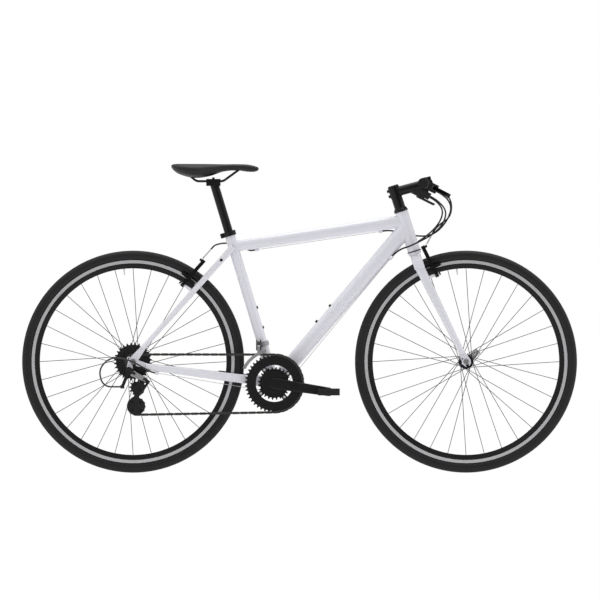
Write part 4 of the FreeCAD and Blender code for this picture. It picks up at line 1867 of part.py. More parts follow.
def control_cables():
    """Housings from the brake levers and shifters to the front brake and the frame's stops."""
    place = control_place()
    inner_end = -size("lever_pivot_inward + part_gap") - 12
    lever_exit = place.multVec(Vector(size("lever_pivot_ahead") - 2, inner_end, 0))
    shift_exit = place.multVec(Vector(size("pod_length / 2 + part_gap") + 6, -size("lever_pivot_inward"),
                                      -size("pod_drop")))
    across = place.Rotation.multVec(SIDEWAYS)
    ahead = LEVER_WAY
    reach = size("stop_length / 2")

    def other_side(point):
        return Vector(point.x, -point.y, point.z)

    noodle = noodle_points(FRONT_BRAKE, -1, "front_noodle_lean")
    noodle_way = (noodle[2] - noodle[1]).normalize()
    front = housing("front_brake_housing", lever_exit, lever_exit - across * 26, Vector(470, 62, 852),
                    Vector(470, 62, 790), noodle[2] + noodle_way * 26, noodle[2])
    way = (TOP_STOPS[0] - TOP_STOPS[1]).normalize()
    stop = TOP_STOPS[0] + way * reach
    rear = housing("rear_brake_lever_housing", other_side(lever_exit), other_side(lever_exit - across * 26),
                   Vector(472, -60, 832), Vector(458, -24, 778), Vector(412, 24, 731), Vector(352, 38, 731),
                   Vector(304, 34, 744), stop + way * 20, stop)
    down_way = (DOWN_END - BB).normalize()
    right_end, left_end = (point + down_way * reach for point in DOWN_STOPS)
    gear = housing("rear_shift_lever_housing", other_side(shift_exit), other_side(shift_exit + ahead * 26),
                   Vector(458, -84, 802), Vector(428, -56, 744), Vector(344, -38, 700),
                   right_end + down_way * 26, right_end)
    rings = housing("front_shift_lever_housing", shift_exit, shift_exit + ahead * 26, Vector(448, 92, 806),
                    Vector(424, 86, 756), Vector(358, 46, 706), left_end + down_way * 26, left_end)
    node("control_cables", front, rear, gear, rings, brake_wire("front", FRONT_BRAKE, -1))


bolts()
frame_cables()
control_cables()
doc.recompute()
for thing in doc.Objects:
    if "Invalid" in thing.State or "Error" in thing.State:
        raise RuntimeError(f"{thing.Label} did not build: {thing.State}")
for part in NODES:
    if part.Shape.isNull() or not part.Shape.isValid():
        raise RuntimeError(f"{part.Label} has no valid shape")
os.makedirs("parts", exist_ok=True)
for part in NODES:
    part.Shape.exportStep(f"parts/{part.Label}.step")
    print(part.Label, len(part.Shape.Solids), round(part.Shape.Volume))
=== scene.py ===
"""Hybrid bicycle: finishes for the solid parts, and the tyres, grips, saddle and cables as real surfaces.

Metres, +X forward, +Y to the rider's left, +Z up. The drive side faces the camera, towards -Y.
"""

import bpy
import numpy as np
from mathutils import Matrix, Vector


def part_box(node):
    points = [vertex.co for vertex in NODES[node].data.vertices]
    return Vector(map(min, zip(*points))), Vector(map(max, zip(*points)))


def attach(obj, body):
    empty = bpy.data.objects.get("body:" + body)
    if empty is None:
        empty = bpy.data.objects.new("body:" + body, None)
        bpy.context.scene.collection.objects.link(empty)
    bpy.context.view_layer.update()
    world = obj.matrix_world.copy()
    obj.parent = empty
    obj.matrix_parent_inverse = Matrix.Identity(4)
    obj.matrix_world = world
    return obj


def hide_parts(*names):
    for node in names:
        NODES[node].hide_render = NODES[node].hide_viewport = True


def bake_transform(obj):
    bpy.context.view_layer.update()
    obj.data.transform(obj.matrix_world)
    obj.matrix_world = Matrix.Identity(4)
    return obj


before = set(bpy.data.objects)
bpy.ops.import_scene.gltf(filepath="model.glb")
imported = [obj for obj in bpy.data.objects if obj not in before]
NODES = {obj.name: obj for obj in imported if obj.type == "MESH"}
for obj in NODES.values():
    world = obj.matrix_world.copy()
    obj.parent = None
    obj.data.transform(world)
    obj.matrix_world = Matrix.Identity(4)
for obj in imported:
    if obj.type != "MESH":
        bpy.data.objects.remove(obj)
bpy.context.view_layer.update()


def middle(node):
    """Centre of a solid part's box."""
    low, high = (np.array(corner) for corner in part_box(node))
    return (low + high) / 2


FRONT_AXLE = middle("front_rim")
REAR_AXLE = middle("rear_rim")
WHEEL_RADIUS = 0.343
FULL_TURN = 2 * np.pi


def add_object(name, data):
    """New object in the scene."""
    made = bpy.data.objects.new(name, data)
    bpy.context.scene.collection.objects.link(made)
    return made


# Shader groups

BROAD_SCALE = 18.0
BROAD_DETAIL = 3.0
BROAD_SHARE = 0.55
FINE_DETAIL = 4.0
GRAIN_HEIGHT = 0.0004


def new_group(name, inputs, outputs):
    """Empty shader group with its sockets; returns the group, its nodes, links and end nodes."""
    group = bpy.data.node_groups.new(name, "ShaderNodeTree")
    for label, kind, value in inputs:
        socket = group.interface.new_socket(label, in_out="INPUT", socket_type="NodeSocket" + kind)
        socket.default_value = value
    for label, kind in outputs:
        group.interface.new_socket(label, in_out="OUTPUT", socket_type="NodeSocket" + kind)
    start = group.nodes.new("NodeGroupInput")
    stop = group.nodes.new("NodeGroupOutput")
    return group, group.nodes, group.links, start, stop


def group_node(nodes, group, values):
    """Node for a shader group, with these values on its sockets."""
    made = nodes.new("ShaderNodeGroup")
    made.node_tree = group
    for label, value in values.items():
        made.inputs[label].default_value = value
    return made


def math_node(nodes, links, operation, first, second=None, third=None):
    """Math node fed by sockets or plain numbers; returns its output."""
    step = nodes.new("ShaderNodeMath")
    step.operation = operation
    for place, value in enumerate((first, second, third)):
        if value is None:
            continue
        if isinstance(value, (int, float)):
            step.inputs[place].default_value = value
        else:
            links.new(value, step.inputs[place])
    return step.outputs[0]


def colour_mix(nodes, links, share, first, second):
    """Colour that goes from first to second as the share goes from 0 to 1."""
    mix = nodes.new("ShaderNodeMix")
    mix.data_type = "RGBA"
    for place, value in ((0, share), (6, first), (7, second)):
        if isinstance(value, tuple):
            mix.inputs[place].default_value = value
        else:
            links.new(value, mix.inputs[place])
    return mix.outputs[2]


def spread(nodes, links, value, low, high):
    """Value from 0 to 1 spread between two numbers or sockets."""
    step = nodes.new("ShaderNodeMapRange")
    links.new(value, step.inputs["Value"])
    for label, end in (("To Min", low), ("To Max", high)):
        if isinstance(end, (int, float)):
            step.inputs[label].default_value = end
        else:
            links.new(end, step.inputs[label])
    return step.outputs["Result"]


def make_grain():
    """Fine grain: two sizes of noise that shift the colour, the roughness and the surface a little."""
    group, nodes, links, start, stop = new_group(
        "fine_grain",
        [("Dark", "Color", (0, 0, 0, 1)), ("Light", "Color", (1, 1, 1, 1)), ("Scale", "Float", 400.0),
         ("Rough Low", "Float", 0.3), ("Rough High", "Float", 0.5), ("Relief", "Float", 0.1)],
        [("Color", "Color"), ("Roughness", "Float"), ("Normal", "Vector")])
    place = nodes.new("ShaderNodeTexCoord")
    broad = nodes.new("ShaderNodeTexNoise")
    broad.inputs["Scale"].default_value = BROAD_SCALE
    broad.inputs["Detail"].default_value = BROAD_DETAIL
    fine = nodes.new("ShaderNodeTexNoise")
    fine.inputs["Detail"].default_value = FINE_DETAIL
    links.new(start.outputs["Scale"], fine.inputs["Scale"])
    for noise in (broad, fine):
        links.new(place.outputs["Object"], noise.inputs["Vector"])
    broad_part = math_node(nodes, links, "MULTIPLY", broad.outputs["Fac"], BROAD_SHARE)
    both = math_node(nodes, links, "MULTIPLY_ADD", fine.outputs["Fac"], 1 - BROAD_SHARE, broad_part)
    colour = colour_mix(nodes, links, both, start.outputs["Dark"], start.outputs["Light"])
    links.new(colour, stop.inputs["Color"])
    rough = spread(nodes, links, both, start.outputs["Rough Low"], start.outputs["Rough High"])
    links.new(rough, stop.inputs["Roughness"])
    bump = nodes.new("ShaderNodeBump")
    bump.inputs["Distance"].default_value = GRAIN_HEIGHT
    links.new(start.outputs["Relief"], bump.inputs["Strength"])
    links.new(fine.outputs["Fac"], bump.inputs["Height"])
    links.new(bump.outputs["Normal"], stop.inputs["Normal"])
    return group


def make_zone():
    """Mask that is 1 inside a box in the part's own coordinates."""
    group, nodes, links, start, stop = new_group(
        "box_zone", [("Low", "Vector", (0, 0, 0)), ("High", "Vector", (1, 1, 1))], [("Mask", "Float")])
    place = nodes.new("ShaderNodeTexCoord")
    parts = []
    for source in (place.outputs["Object"], start.outputs["Low"], start.outputs["High"]):
        split = nodes.new("ShaderNodeSeparateXYZ")
        links.new(source, split.inputs[0])
        parts.append(split.outputs)
    mask = None
    for point, low, high in zip(*parts):
        above = math_node(nodes, links, "GREATER_THAN", point, low)
        below = math_node(nodes, links, "LESS_THAN", point, high)
        inside = math_node(nodes, links, "MULTIPLY", above, below)
        mask = inside if mask is None else math_node(nodes, links, "MULTIPLY", mask, inside)
    links.new(mask, stop.inputs["Mask"])
    return group


def make_wheel_rings():
    """Distance from a wheel's axle, and fine lines turned round it as a lathe leaves them."""
    group, nodes, links, start, stop = new_group(
        "wheel_rings", [("Axle", "Vector", (0, 0, 0)), ("Pitch", "Float", 0.0006)],
        [("Radius", "Float"), ("Lines", "Float")])
    place = nodes.new("ShaderNodeTexCoord")
    away = nodes.new("ShaderNodeVectorMath")
    away.operation = "SUBTRACT"
    links.new(place.outputs["Object"], away.inputs[0])
    links.new(start.outputs["Axle"], away.inputs[1])
    flat = nodes.new("ShaderNodeVectorMath")
    flat.operation = "MULTIPLY"
    flat.inputs[1].default_value = (1, 0, 1)
    links.new(away.outputs["Vector"], flat.inputs[0])
    reach = nodes.new("ShaderNodeVectorMath")
    reach.operation = "LENGTH"
    links.new(flat.outputs["Vector"], reach.inputs[0])
    links.new(reach.outputs["Value"], stop.inputs["Radius"])
    turns = math_node(nodes, links, "DIVIDE", reach.outputs["Value"], start.outputs["Pitch"])
    wave = math_node(nodes, links, "SINE", math_node(nodes, links, "MULTIPLY", turns, FULL_TURN))
    links.new(math_node(nodes, links, "MULTIPLY_ADD", wave, 0.5, 0.5), stop.inputs["Lines"])
    return group


GRAIN = make_grain()
ZONE = make_zone()
RINGS = make_wheel_rings()


# Finishes

COAT_ROUGHNESS = 0.08
TRACK = (0.3038, 0.3133)
TRACK_DARK = (0.52, 0.52, 0.54, 1)
TRACK_LIGHT = (0.72, 0.72, 0.74, 1)
TRACK_LINE_PITCH = 0.0011
RIM_METALLIC = 0.3
SIDE_WALL_RADIUS = WHEEL_RADIUS - 0.010
SIDE_WALL_SHINE = 0.14
SIDE_WALL_RIB_PITCH = 0.0018
SIDE_WALL_RIB_HEIGHT = 0.0003
SIDE_WALL_RIB_STRENGTH = 0.25


def grey(level):
    """Plain grey as a colour."""
    return (level, level, level, 1)


def open_tree(made):
    """A material's nodes, links and main shader."""
    tree = made.node_tree
    return tree.nodes, tree.links, tree.nodes["Principled BSDF"]


def feed(shader, label):
    """Output that feeds one of the shader's sockets now."""
    return shader.inputs[label].links[0].from_socket


def finish(name, dark, light, rough, scale, relief, metallic=0.0, coat=0.0, specular=0.5):
    """Material with the fine grain's colour, roughness and relief."""
    made = bpy.data.materials.new(name)
    made.use_nodes = True
    nodes, links, shader = open_tree(made)
    shader.inputs["Metallic"].default_value = metallic
    shader.inputs["Coat Weight"].default_value = coat
    shader.inputs["Coat Roughness"].default_value = COAT_ROUGHNESS
    shader.inputs["Specular IOR Level"].default_value = specular
    grain = group_node(nodes, GRAIN, {
        "Dark": dark, "Light": light, "Scale": scale, "Rough Low": rough[0], "Rough High": rough[1],
        "Relief": relief})
    for output, label in (("Color", "Base Color"), ("Roughness", "Roughness"), ("Normal", "Normal")):
        links.new(grain.outputs[output], shader.inputs[label])
    return made


def add_zone(made, low, high, colour, bare_metal=False):
    """Give a box-shaped stretch of a material its own colour, and make it bare metal where that is asked."""
    nodes, links, shader = open_tree(made)
    mask = group_node(nodes, ZONE, {"Low": low, "High": high}).outputs["Mask"]
    mixed = colour_mix(nodes, links, mask, feed(shader, "Base Color"), colour)
    links.new(mixed, shader.inputs["Base Color"])
    if bare_metal:
        elsewhere = shader.inputs["Metallic"].default_value
        links.new(math_node(nodes, links, "MAXIMUM", mask, elsewhere), shader.inputs["Metallic"])
    return made


def rim_finish(name, axle):
    """Black rim with a bright turned brake track on each side."""
    made = finish(name, grey(0.006), grey(0.016), (0.28, 0.42), scale=300, relief=0.06,
                  metallic=RIM_METALLIC, specular=0.25)
    nodes, links, shader = open_tree(made)
    rings = group_node(nodes, RINGS, {"Axle": axle, "Pitch": TRACK_LINE_PITCH})
    past_start = math_node(nodes, links, "GREATER_THAN", rings.outputs["Radius"], TRACK[0])
    before_end = math_node(nodes, links, "LESS_THAN", rings.outputs["Radius"], TRACK[1])
    track = math_node(nodes, links, "MULTIPLY", past_start, before_end)
    bright = colour_mix(nodes, links, rings.outputs["Lines"], TRACK_DARK, TRACK_LIGHT)
    colour = colour_mix(nodes, links, track, feed(shader, "Base Color"), bright)
    links.new(colour, shader.inputs["Base Color"])
    links.new(math_node(nodes, links, "MAXIMUM", track, RIM_METALLIC), shader.inputs["Metallic"])
    return made


def tyre_finish(name, axle):
    """Tyre rubber: matt tread, a slightly shinier ribbed side wall."""
    made = finish(name, grey(0.007), grey(0.02), (0.5, 0.68), scale=700, relief=0.25, specular=0.25)
    nodes, links, shader = open_tree(made)
    rings = group_node(nodes, RINGS, {"Axle": axle, "Pitch": SIDE_WALL_RIB_PITCH})
    side = math_node(nodes, links, "LESS_THAN", rings.outputs["Radius"], SIDE_WALL_RADIUS)
    rough = math_node(nodes, links, "MULTIPLY_ADD", side, -SIDE_WALL_SHINE, feed(shader, "Roughness"))
    links.new(rough, shader.inputs["Roughness"])
    bump = nodes.new("ShaderNodeBump")
    bump.inputs["Distance"].default_value = SIDE_WALL_RIB_HEIGHT
    bump.inputs["Strength"].default_value = SIDE_WALL_RIB_STRENGTH
    links.new(math_node(nodes, links, "MULTIPLY", side, rings.outputs["Lines"]), bump.inputs["Height"])
    links.new(feed(shader, "Normal"), bump.inputs["Normal"])
    links.new(bump.outputs["Normal"], shader.inputs["Normal"])
    return made


WHITE_PAINT = finish("white_gloss_paint", (0.81, 0.805, 0.873, 1), (0.82, 0.815, 0.882, 1), (0.25, 0.28),
                     scale=900, relief=0.0, coat=0.8)
BLACK_ALLOY = finish("black_satin_alloy", grey(0.003), grey(0.008), (0.2, 0.3), scale=900, relief=0.05,
                     metallic=0.3, specular=0.35)
BLACK_METAL = finish("black_enamel", grey(0.003), grey(0.009), (0.22, 0.32), scale=600, relief=0.06,
                     metallic=0.2, specular=0.35)
BLACK_PLASTIC = finish("black_moulded_plastic", grey(0.006), grey(0.016), (0.32, 0.45), scale=1500,
                       relief=0.16, specular=0.3)
HOUSING_SKIN = finish("cable_housing_black", grey(0.006), grey(0.014), (0.3, 0.42), scale=900, relief=0.05,
                      specular=0.2)
GRIP_RUBBER = finish("grip_rubber", grey(0.006), grey(0.016), (0.58, 0.75), scale=1400, relief=0.3,
                     specular=0.2)
SPOKE_STEEL = finish("spoke_steel", grey(0.05), grey(0.1), (0.24, 0.34), scale=900, relief=0.02, metallic=1.0)
BRIGHT_METAL = finish("bright_alloy", (0.55, 0.55, 0.57, 1), (0.72, 0.72, 0.74, 1), (0.2, 0.32), scale=700,
                      relief=0.04, metallic=1.0)
WIRE_STEEL = finish("wire_strand_steel", (0.42, 0.42, 0.44, 1), (0.58, 0.58, 0.6, 1), (0.28, 0.4),
                    scale=2500, relief=0.2, metallic=1.0)
CHAIN_STEEL = finish("oiled_chain_steel", (0.025, 0.024, 0.022, 1), (0.09, 0.087, 0.082, 1), (0.26, 0.42),
                     scale=500, relief=0.08, metallic=0.85)
DARK_STEEL = finish("dark_gear_steel", grey(0.012), grey(0.04), (0.28, 0.42), scale=600, relief=0.06,
                    metallic=0.7, specular=0.3)
# Light grey steel: the axles' own colour, and on the dark derailleur outer link a painted highlight
AXLE_STEEL_AND_LINK_HIGHLIGHT = finish("axle_steel_and_painted_link_highlight", grey(0.2), grey(0.34), (0.24, 0.36), scale=600, relief=0.05,
                    metallic=0.9)
SPROCKET_STEEL = finish("sprocket_steel", grey(0.012), grey(0.045), (0.3, 0.45), scale=600, relief=0.06,
                        metallic=0.7, specular=0.3)
CAGE_STEEL = finish("front_cage_steel", grey(0.3), (0.46, 0.46, 0.47, 1), (0.24, 0.36), scale=600,
                    relief=0.05, metallic=0.95)

FINISHES = [
    (WHITE_PAINT, "head_tube bottom_bracket_shell seat_tube down_tube top_tube"),
    (WHITE_PAINT, "dropouts chainstays seatstays fork"),
    (BLACK_METAL, "frame_bearings frame_bolts seat_clamp saddle_rails"),
    (BLACK_ALLOY, "stem handlebar crank_arms seatpost left_brake_lever right_brake_lever"),
    (BLACK_ALLOY, "front_brake_right_arm rear_brake_right_arm front_hub rear_hub"),
    (BLACK_PLASTIC, "control_brackets left_thumb_lever right_thumb_lever left_trigger_lever"),
    (BLACK_PLASTIC, "right_trigger_lever right_pedal left_pedal guide_pulley tension_pulley"),
    (SPOKE_STEEL, "front_spokes rear_spokes"),
    (BRIGHT_METAL, "front_quick_lever rear_quick_lever"),
    # The outer link's light grey is a painted highlight on a dark grey part; the axles are steel
    (AXLE_STEEL_AND_LINK_HIGHLIGHT, "front_axle rear_axle rear_derailleur_outer_link"),
    (CHAIN_STEEL, "chain"),
    (SPROCKET_STEEL, "cassette"),
    (DARK_STEEL, "rear_derailleur_body rear_derailleur_knuckle rear_derailleur_cage"),
    (DARK_STEEL, "rear_derailleur_inner_link front_derailleur_outer_link front_derailleur_inner_link"),
    (CAGE_STEEL, "front_derailleur_cage front_derailleur_band"),
]
NOODLE_BRIGHT = (0.62, 0.62, 0.64, 1)
NOODLE_ZONES = {
    "front": ((0.36, 0.042, 0.690), (0.46, 0.09, 0.77)),
    "rear": ((-0.34, 0.042, 0.646), (-0.24, 0.09, 0.72)),
}
BOLT_BRIGHT = (0.6, 0.6, 0.62, 1)
BOLT_HEAD_HEIGHT = 0.0013
HOUSING_BLACK = grey(0.015)
DERAILLEUR_HOUSING_ZONE = ((-0.70, -0.2, 0.25), (-0.4465, 0.0, 0.40))
REAR_BRAKE_HOUSING_ZONE = ((-0.32, 0.002, 0.66), (-0.1375, 0.09, 0.74))


def dress(node, made):
    """Put one material on a solid part."""
    slots = NODES[node].data.materials
    slots.clear()
    slots.append(made)


for made, names in FINISHES:
    for node in names.split():
        dress(node, made)
dress("front_rim", rim_finish("front_rim_black_and_track", FRONT_AXLE))
dress("rear_rim", rim_finish("rear_rim_black_and_track", REAR_AXLE))

# The brake arms that carry the bent guide pipe have it bright, above and beside the arm
for label, (low, high) in NOODLE_ZONES.items():
    arm_black = finish(f"{label}_brake_arm_black", grey(0.006), grey(0.018), (0.3, 0.42), scale=900,
                       relief=0.05, metallic=0.3, specular=0.2)
    dress(f"{label}_brake_left_arm", add_zone(arm_black, low, high, NOODLE_BRIGHT, bare_metal=True))

# The heads of the chainring bolts stand out from the outer ring's face, and are bright
outer_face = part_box("chainrings")[0][1]
ring_black = finish("chainring_black_and_bolts", grey(0.003), grey(0.009), (0.22, 0.32), scale=900,
                    relief=0.05, metallic=0.3, specular=0.35)
add_zone(ring_black, (-1, -1, 0), (1, outer_face + BOLT_HEAD_HEIGHT, 1), BOLT_BRIGHT, bare_metal=True)
dress("chainrings", ring_black)

# Cables along the frame are bare wire but for the two housings, at the rear brake and the rear derailleur
frame_wire = finish("frame_cable_wire_and_housing", (0.42, 0.42, 0.44, 1), (0.56, 0.56, 0.58, 1), (0.3, 0.42),
                    scale=1800, relief=0.1)
for low, high in (DERAILLEUR_HOUSING_ZONE, REAR_BRAKE_HOUSING_ZONE):
    add_zone(frame_wire, low, high, HOUSING_BLACK)
dress("frame_cables", frame_wire)


# Surfaces

def point_outwards(mesh):
    """Turn the faces over if the mesh's signed volume says that they look inwards."""
    corners = np.empty(len(mesh.vertices) * 3)
    mesh.vertices.foreach_get("co", corners)
    corners = corners.reshape(-1, 3)
    mesh.calc_loop_triangles()
    triangles = np.empty(len(mesh.loop_triangles) * 3, int)
    mesh.loop_triangles.foreach_get("vertices", triangles)
    first, second, third = (corners[triangles.reshape(-1, 3)[:, number]] for number in range(3))
    if np.sum(first * np.cross(second, third)) < 0:
        mesh.flip_normals()


def surface(name, points, made, ring=False):
    """Mesh from a grid of points (rows, columns, 3): each cell is one face.

    The grid wraps round along its columns. In a ring the last row joins the first; otherwise both are filled.
    """
    rows, columns = points.shape[:2]
    row, column = np.meshgrid(np.arange(rows if ring else rows - 1), np.arange(columns), indexing="ij")
    next_row, next_column = (row + 1) % rows, (column + 1) % columns
    quads = np.stack([row * columns + column, next_row * columns + column,
                      next_row * columns + next_column, row * columns + next_column], -1)
    faces = [tuple(face) for face in quads.reshape(-1, 4).tolist()]
    if not ring:
        last = (rows - 1) * columns
        faces.append(tuple(range(columns)))
        faces.append(tuple(range(last + columns - 1, last - 1, -1)))
    mesh = bpy.data.meshes.new(name)
    mesh.from_pydata(points.reshape(-1, 3).tolist(), [], faces)
    mesh.update()
    point_outwards(mesh)
    mesh.polygons.foreach_set("use_smooth", np.ones(len(mesh.polygons), bool))
    mesh.materials.append(made)
    return add_object(name, mesh)


def turned(name, profile, origin, axis, made, count):
    """Closed shape of revolution: a profile of (radius, height) turned about an axis through origin."""
    axis = np.array(axis, float) / np.linalg.norm(axis)
    across = np.cross(axis, (0, 0, 1) if abs(axis[2]) < 0.9 else (1, 0, 0))
    across /= np.linalg.norm(across)
    other = np.cross(axis, across)
    angle = np.linspace(0, FULL_TURN, count, endpoint=False)
    around = np.outer(np.cos(angle), across) + np.outer(np.sin(angle), other)
    radius, height = np.array(profile, float).T
    points = np.array(origin) + radius[:, None, None] * around[None] + height[:, None, None] * axis
    return surface(name, points, made)


# Tyres, with angles over the tread from its middle

TYRE_ROUND = 0.016
RIM_SHOULDER = 0.3173
BEAD_RADIUS = 0.3117
BEAD_OFFSET = 0.0095
STEPS_OVER = 57
STEPS_ROUND = 792
TREAD_BLOCKS = 132
TREAD_DEPTH = 0.0007
TREAD_END = 0.95
TREAD_END_FADE = 0.1
GROOVE_SLANT = 5.0
GROOVE_CREST = 0.72
GROOVE_FLANK = 0.2
GROOVE_START = 0.34
GROOVE_START_FADE = 0.06
RING_GROOVE = 0.3
RING_GROOVE_HALF = 0.05
SPOKES = 32
VALVE_ANGLE = np.radians(90 + 180 / SPOKES)
VALVE_FOOT = 0.3110
VALVE_PROFILE = [(0.0029, 0.0), (0.0029, 0.030), (0.0021, 0.031), (0.0021, 0.040), (0.0013, 0.042)]
VALVE_SIDES = 24


def tyre(label, axle):
    """Tyre as a ring: a round profile carried about the axle, cut by slanted grooves across the tread.

    At an angle v over the tread, a groove is where a wave along the wheel, slanted by v, is near its crest,
    and two plain grooves run round the wheel beside the middle. The valve stands between two spokes.
    """
    middle_radius = WHEEL_RADIUS - TYRE_ROUND
    limit = np.arccos((RIM_SHOULDER - middle_radius) / TYRE_ROUND)
    v = np.linspace(-limit, limit, STEPS_OVER)
    u = np.linspace(0, FULL_TURN, STEPS_ROUND, endpoint=False)
    over, along = np.meshgrid(v, u)
    aside = np.abs(over)
    wave = np.cos(along * TREAD_BLOCKS + GROOVE_SLANT * aside)
    slanted = np.clip((wave - GROOVE_CREST) / GROOVE_FLANK, 0, 1)
    slanted *= np.clip((aside - GROOVE_START) / GROOVE_START_FADE, 0, 1)
    plain = np.clip(1 - np.abs(aside - RING_GROOVE) / RING_GROOVE_HALF, 0, 1)
    tread = np.clip((TREAD_END - aside) / TREAD_END_FADE, 0, 1)
    round_radius = TYRE_ROUND - TREAD_DEPTH * tread * np.maximum(slanted, plain)
    bead = np.full((STEPS_ROUND, 1), BEAD_RADIUS)
    edge = np.full((STEPS_ROUND, 1), BEAD_OFFSET)
    radius = np.hstack([bead, middle_radius + round_radius * np.cos(over), bead])
    offset = np.hstack([-edge, round_radius * np.sin(over), edge])
    points = np.stack([axle[0] + radius * np.cos(u)[:, None], offset,
                       axle[2] + radius * np.sin(u)[:, None]], -1)
    casing = surface(f"{label}_tyre_casing", points, tyre_finish(f"{label}_tyre_rubber", axle), ring=True)
    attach(casing, f"{label}_wheel")
    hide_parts(f"{label}_tyre")
    way = np.array([np.cos(VALVE_ANGLE), 0, np.sin(VALVE_ANGLE)])
    foot = axle + way * VALVE_FOOT
    stem = turned(f"{label}_valve_stem", VALVE_PROFILE, foot, -way, BRIGHT_METAL, VALVE_SIDES)
    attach(stem, f"{label}_wheel")
    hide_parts(f"{label}_tyre")


tyre("front", FRONT_AXLE)
tyre("rear", REAR_AXLE)


# Grips, with heights along the bar from its tip

BAR_BEND = np.array([0.39121, 0.060, 0.89199])
BAR_TIP = np.array([0.37871, 0.300, 0.89199])
BAR_HOLE_RADIUS = 0.0112
GRIP_LENGTH = 0.125
GRIP_STEPS = 241
GRIP_SIDES = 56
GRIP_RADIUS = 0.0140
RIB_HEIGHT = 0.0010
RIB_PITCH = 0.0052
COLLAR_LENGTH = 0.008
COLLAR_RADIUS = 0.0158
FLANGE_LENGTH = 0.006
FLANGE_RADIUS = 0.0172
END_CAP = [(0.0005, -0.003), (0.0130, -0.003), (0.0150, -0.0022), (0.0158, -0.0008)]


def grips():
    """Ribbed rubber grips: the radius rises to a round rib every few millimetres between plain collars."""
    height = np.linspace(0, GRIP_LENGTH, GRIP_STEPS)
    radius = GRIP_RADIUS + RIB_HEIGHT * np.sqrt(np.abs(np.sin(np.pi * height / RIB_PITCH)))
    radius[height < COLLAR_LENGTH] = COLLAR_RADIUS
    radius[height > GRIP_LENGTH - FLANGE_LENGTH] = FLANGE_RADIUS
    profile = END_CAP + list(zip(radius, height)) + [(BAR_HOLE_RADIUS, GRIP_LENGTH)]
    for side, label in ((-1, "right"), (1, "left")):
        flip = np.array([1, side, 1])
        tip, bend = BAR_TIP * flip, BAR_BEND * flip
        grip = turned(f"{label}_grip_rubber", profile, tip, bend - tip, GRIP_RUBBER, GRIP_SIDES)
        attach(grip, "steering")
        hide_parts("grips")


grips()


# Saddle, with half width, lower edge and top at stations from its rear to its nose

SADDLE_REAR, SADDLE_NOSE = (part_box("saddle")[end][0] for end in (0, 1))
SADDLE_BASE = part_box("saddle")[0][2] - 0.010
SADDLE_STATIONS = np.array([0.0, 0.02, 0.05, 0.14, 0.28, 0.44, 0.6, 0.77, 0.89, 0.96, 0.99, 1.0])
SADDLE_HALF = np.array([0.030, 0.048, 0.0575, 0.072, 0.0757, 0.053,
                        0.0325, 0.0257, 0.0212, 0.0158, 0.0105, 0.003])
SADDLE_LOW = np.array([0.042, 0.035, 0.028, 0.017, 0.0102, 0.016,
                       0.030, 0.033, 0.029, 0.030, 0.0335, 0.037])
SADDLE_TOP = np.array([0.0495, 0.0525, 0.0535, 0.0538, 0.0538, 0.0537,
                       0.0534, 0.053, 0.051, 0.0465, 0.043, 0.0395])
SADDLE_ROWS = 150
SADDLE_COLUMNS = 128
EDGE_SHARE = 0.45
SIDE_POWER = 0.75
CROWN_POWER = 0.62
UNDER_POWER = 0.55
DRAW_IN = 0.22
CHANNEL_DEPTH = 0.0022
CHANNEL_HALF = 0.011
CHANNEL_MIDDLE = 0.42
CHANNEL_REACH = 0.26
WELT_ANGLE = 0.16
WELT_SPREAD = 0.05
WELT_DEPTH = 0.02


def smooth_between(share, values):
    """Values at stations along the saddle joined by a smooth curve, sloped at each as its neighbours are."""
    slope = np.gradient(values, SADDLE_STATIONS)
    number = np.clip(np.searchsorted(SADDLE_STATIONS, share, side="right") - 1, 0, len(values) - 2)
    width = np.diff(SADDLE_STATIONS)[number]
    t = (share - SADDLE_STATIONS[number]) / width
    start = (2 * t ** 3 - 3 * t ** 2 + 1) * values[number] + (t ** 3 - 2 * t ** 2 + t) * width * slope[number]
    end = (3 * t ** 2 - 2 * t ** 3) * values[number + 1] + (t ** 3 - t ** 2) * width * slope[number + 1]
    return start + end


def saddle():
    """Saddle skin: sections along its length, each a broad crown over drawn-in sides and a shallow underside.

    Round a section the angle w goes from the left edge over the top to the right edge and back below.
    The crown follows the sine of w to a power below 1; a welt is pressed in where the cover meets the base,
    and a shallow channel runs along the middle of the top.
    """
    share = (0.5 - 0.5 * np.cos(np.linspace(0, np.pi, SADDLE_ROWS)))[:, None]
    w = np.linspace(0, FULL_TURN, SADDLE_COLUMNS, endpoint=False)[None]
    half, low, top = (smooth_between(share, values) for values in (SADDLE_HALF, SADDLE_LOW, SADDLE_TOP))
    edge = low + (top - low) * EDGE_SHARE
    rise = np.sin(w)
    upper = np.clip(rise, 0, 1)
    under = np.clip(-rise, 0, 1)
    side = np.sign(np.cos(w)) * np.abs(np.cos(w)) ** SIDE_POWER
    y = half * side * (1 - DRAW_IN * under ** 0.5)
    z = edge + (top - edge) * upper ** CROWN_POWER - (edge - low) * under ** UNDER_POWER
    along_channel = np.exp(-((share - CHANNEL_MIDDLE) / CHANNEL_REACH) ** 4)
    z = z - CHANNEL_DEPTH * np.exp(-(y / CHANNEL_HALF) ** 2) * along_channel * (rise > 0)
    welt = np.exp(-((np.arcsin(-rise) - WELT_ANGLE) / WELT_SPREAD) ** 2)
    y = y * (1 - WELT_DEPTH * welt)
    x = SADDLE_REAR + share * (SADDLE_NOSE - SADDLE_REAR) + 0 * y
    points = np.stack([x, y, SADDLE_BASE + z], -1)
    cover = finish("saddle_cover_leatherette", grey(0.008), grey(0.022), (0.42, 0.58), scale=900, relief=0.3,
                   specular=0.3)
    piece = surface("saddle_cover", points, cover)
    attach(piece, "seat")
    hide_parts("saddle")


saddle()


# Cables from the handlebar: each stop or barrel is given by two points along the housing's way through it

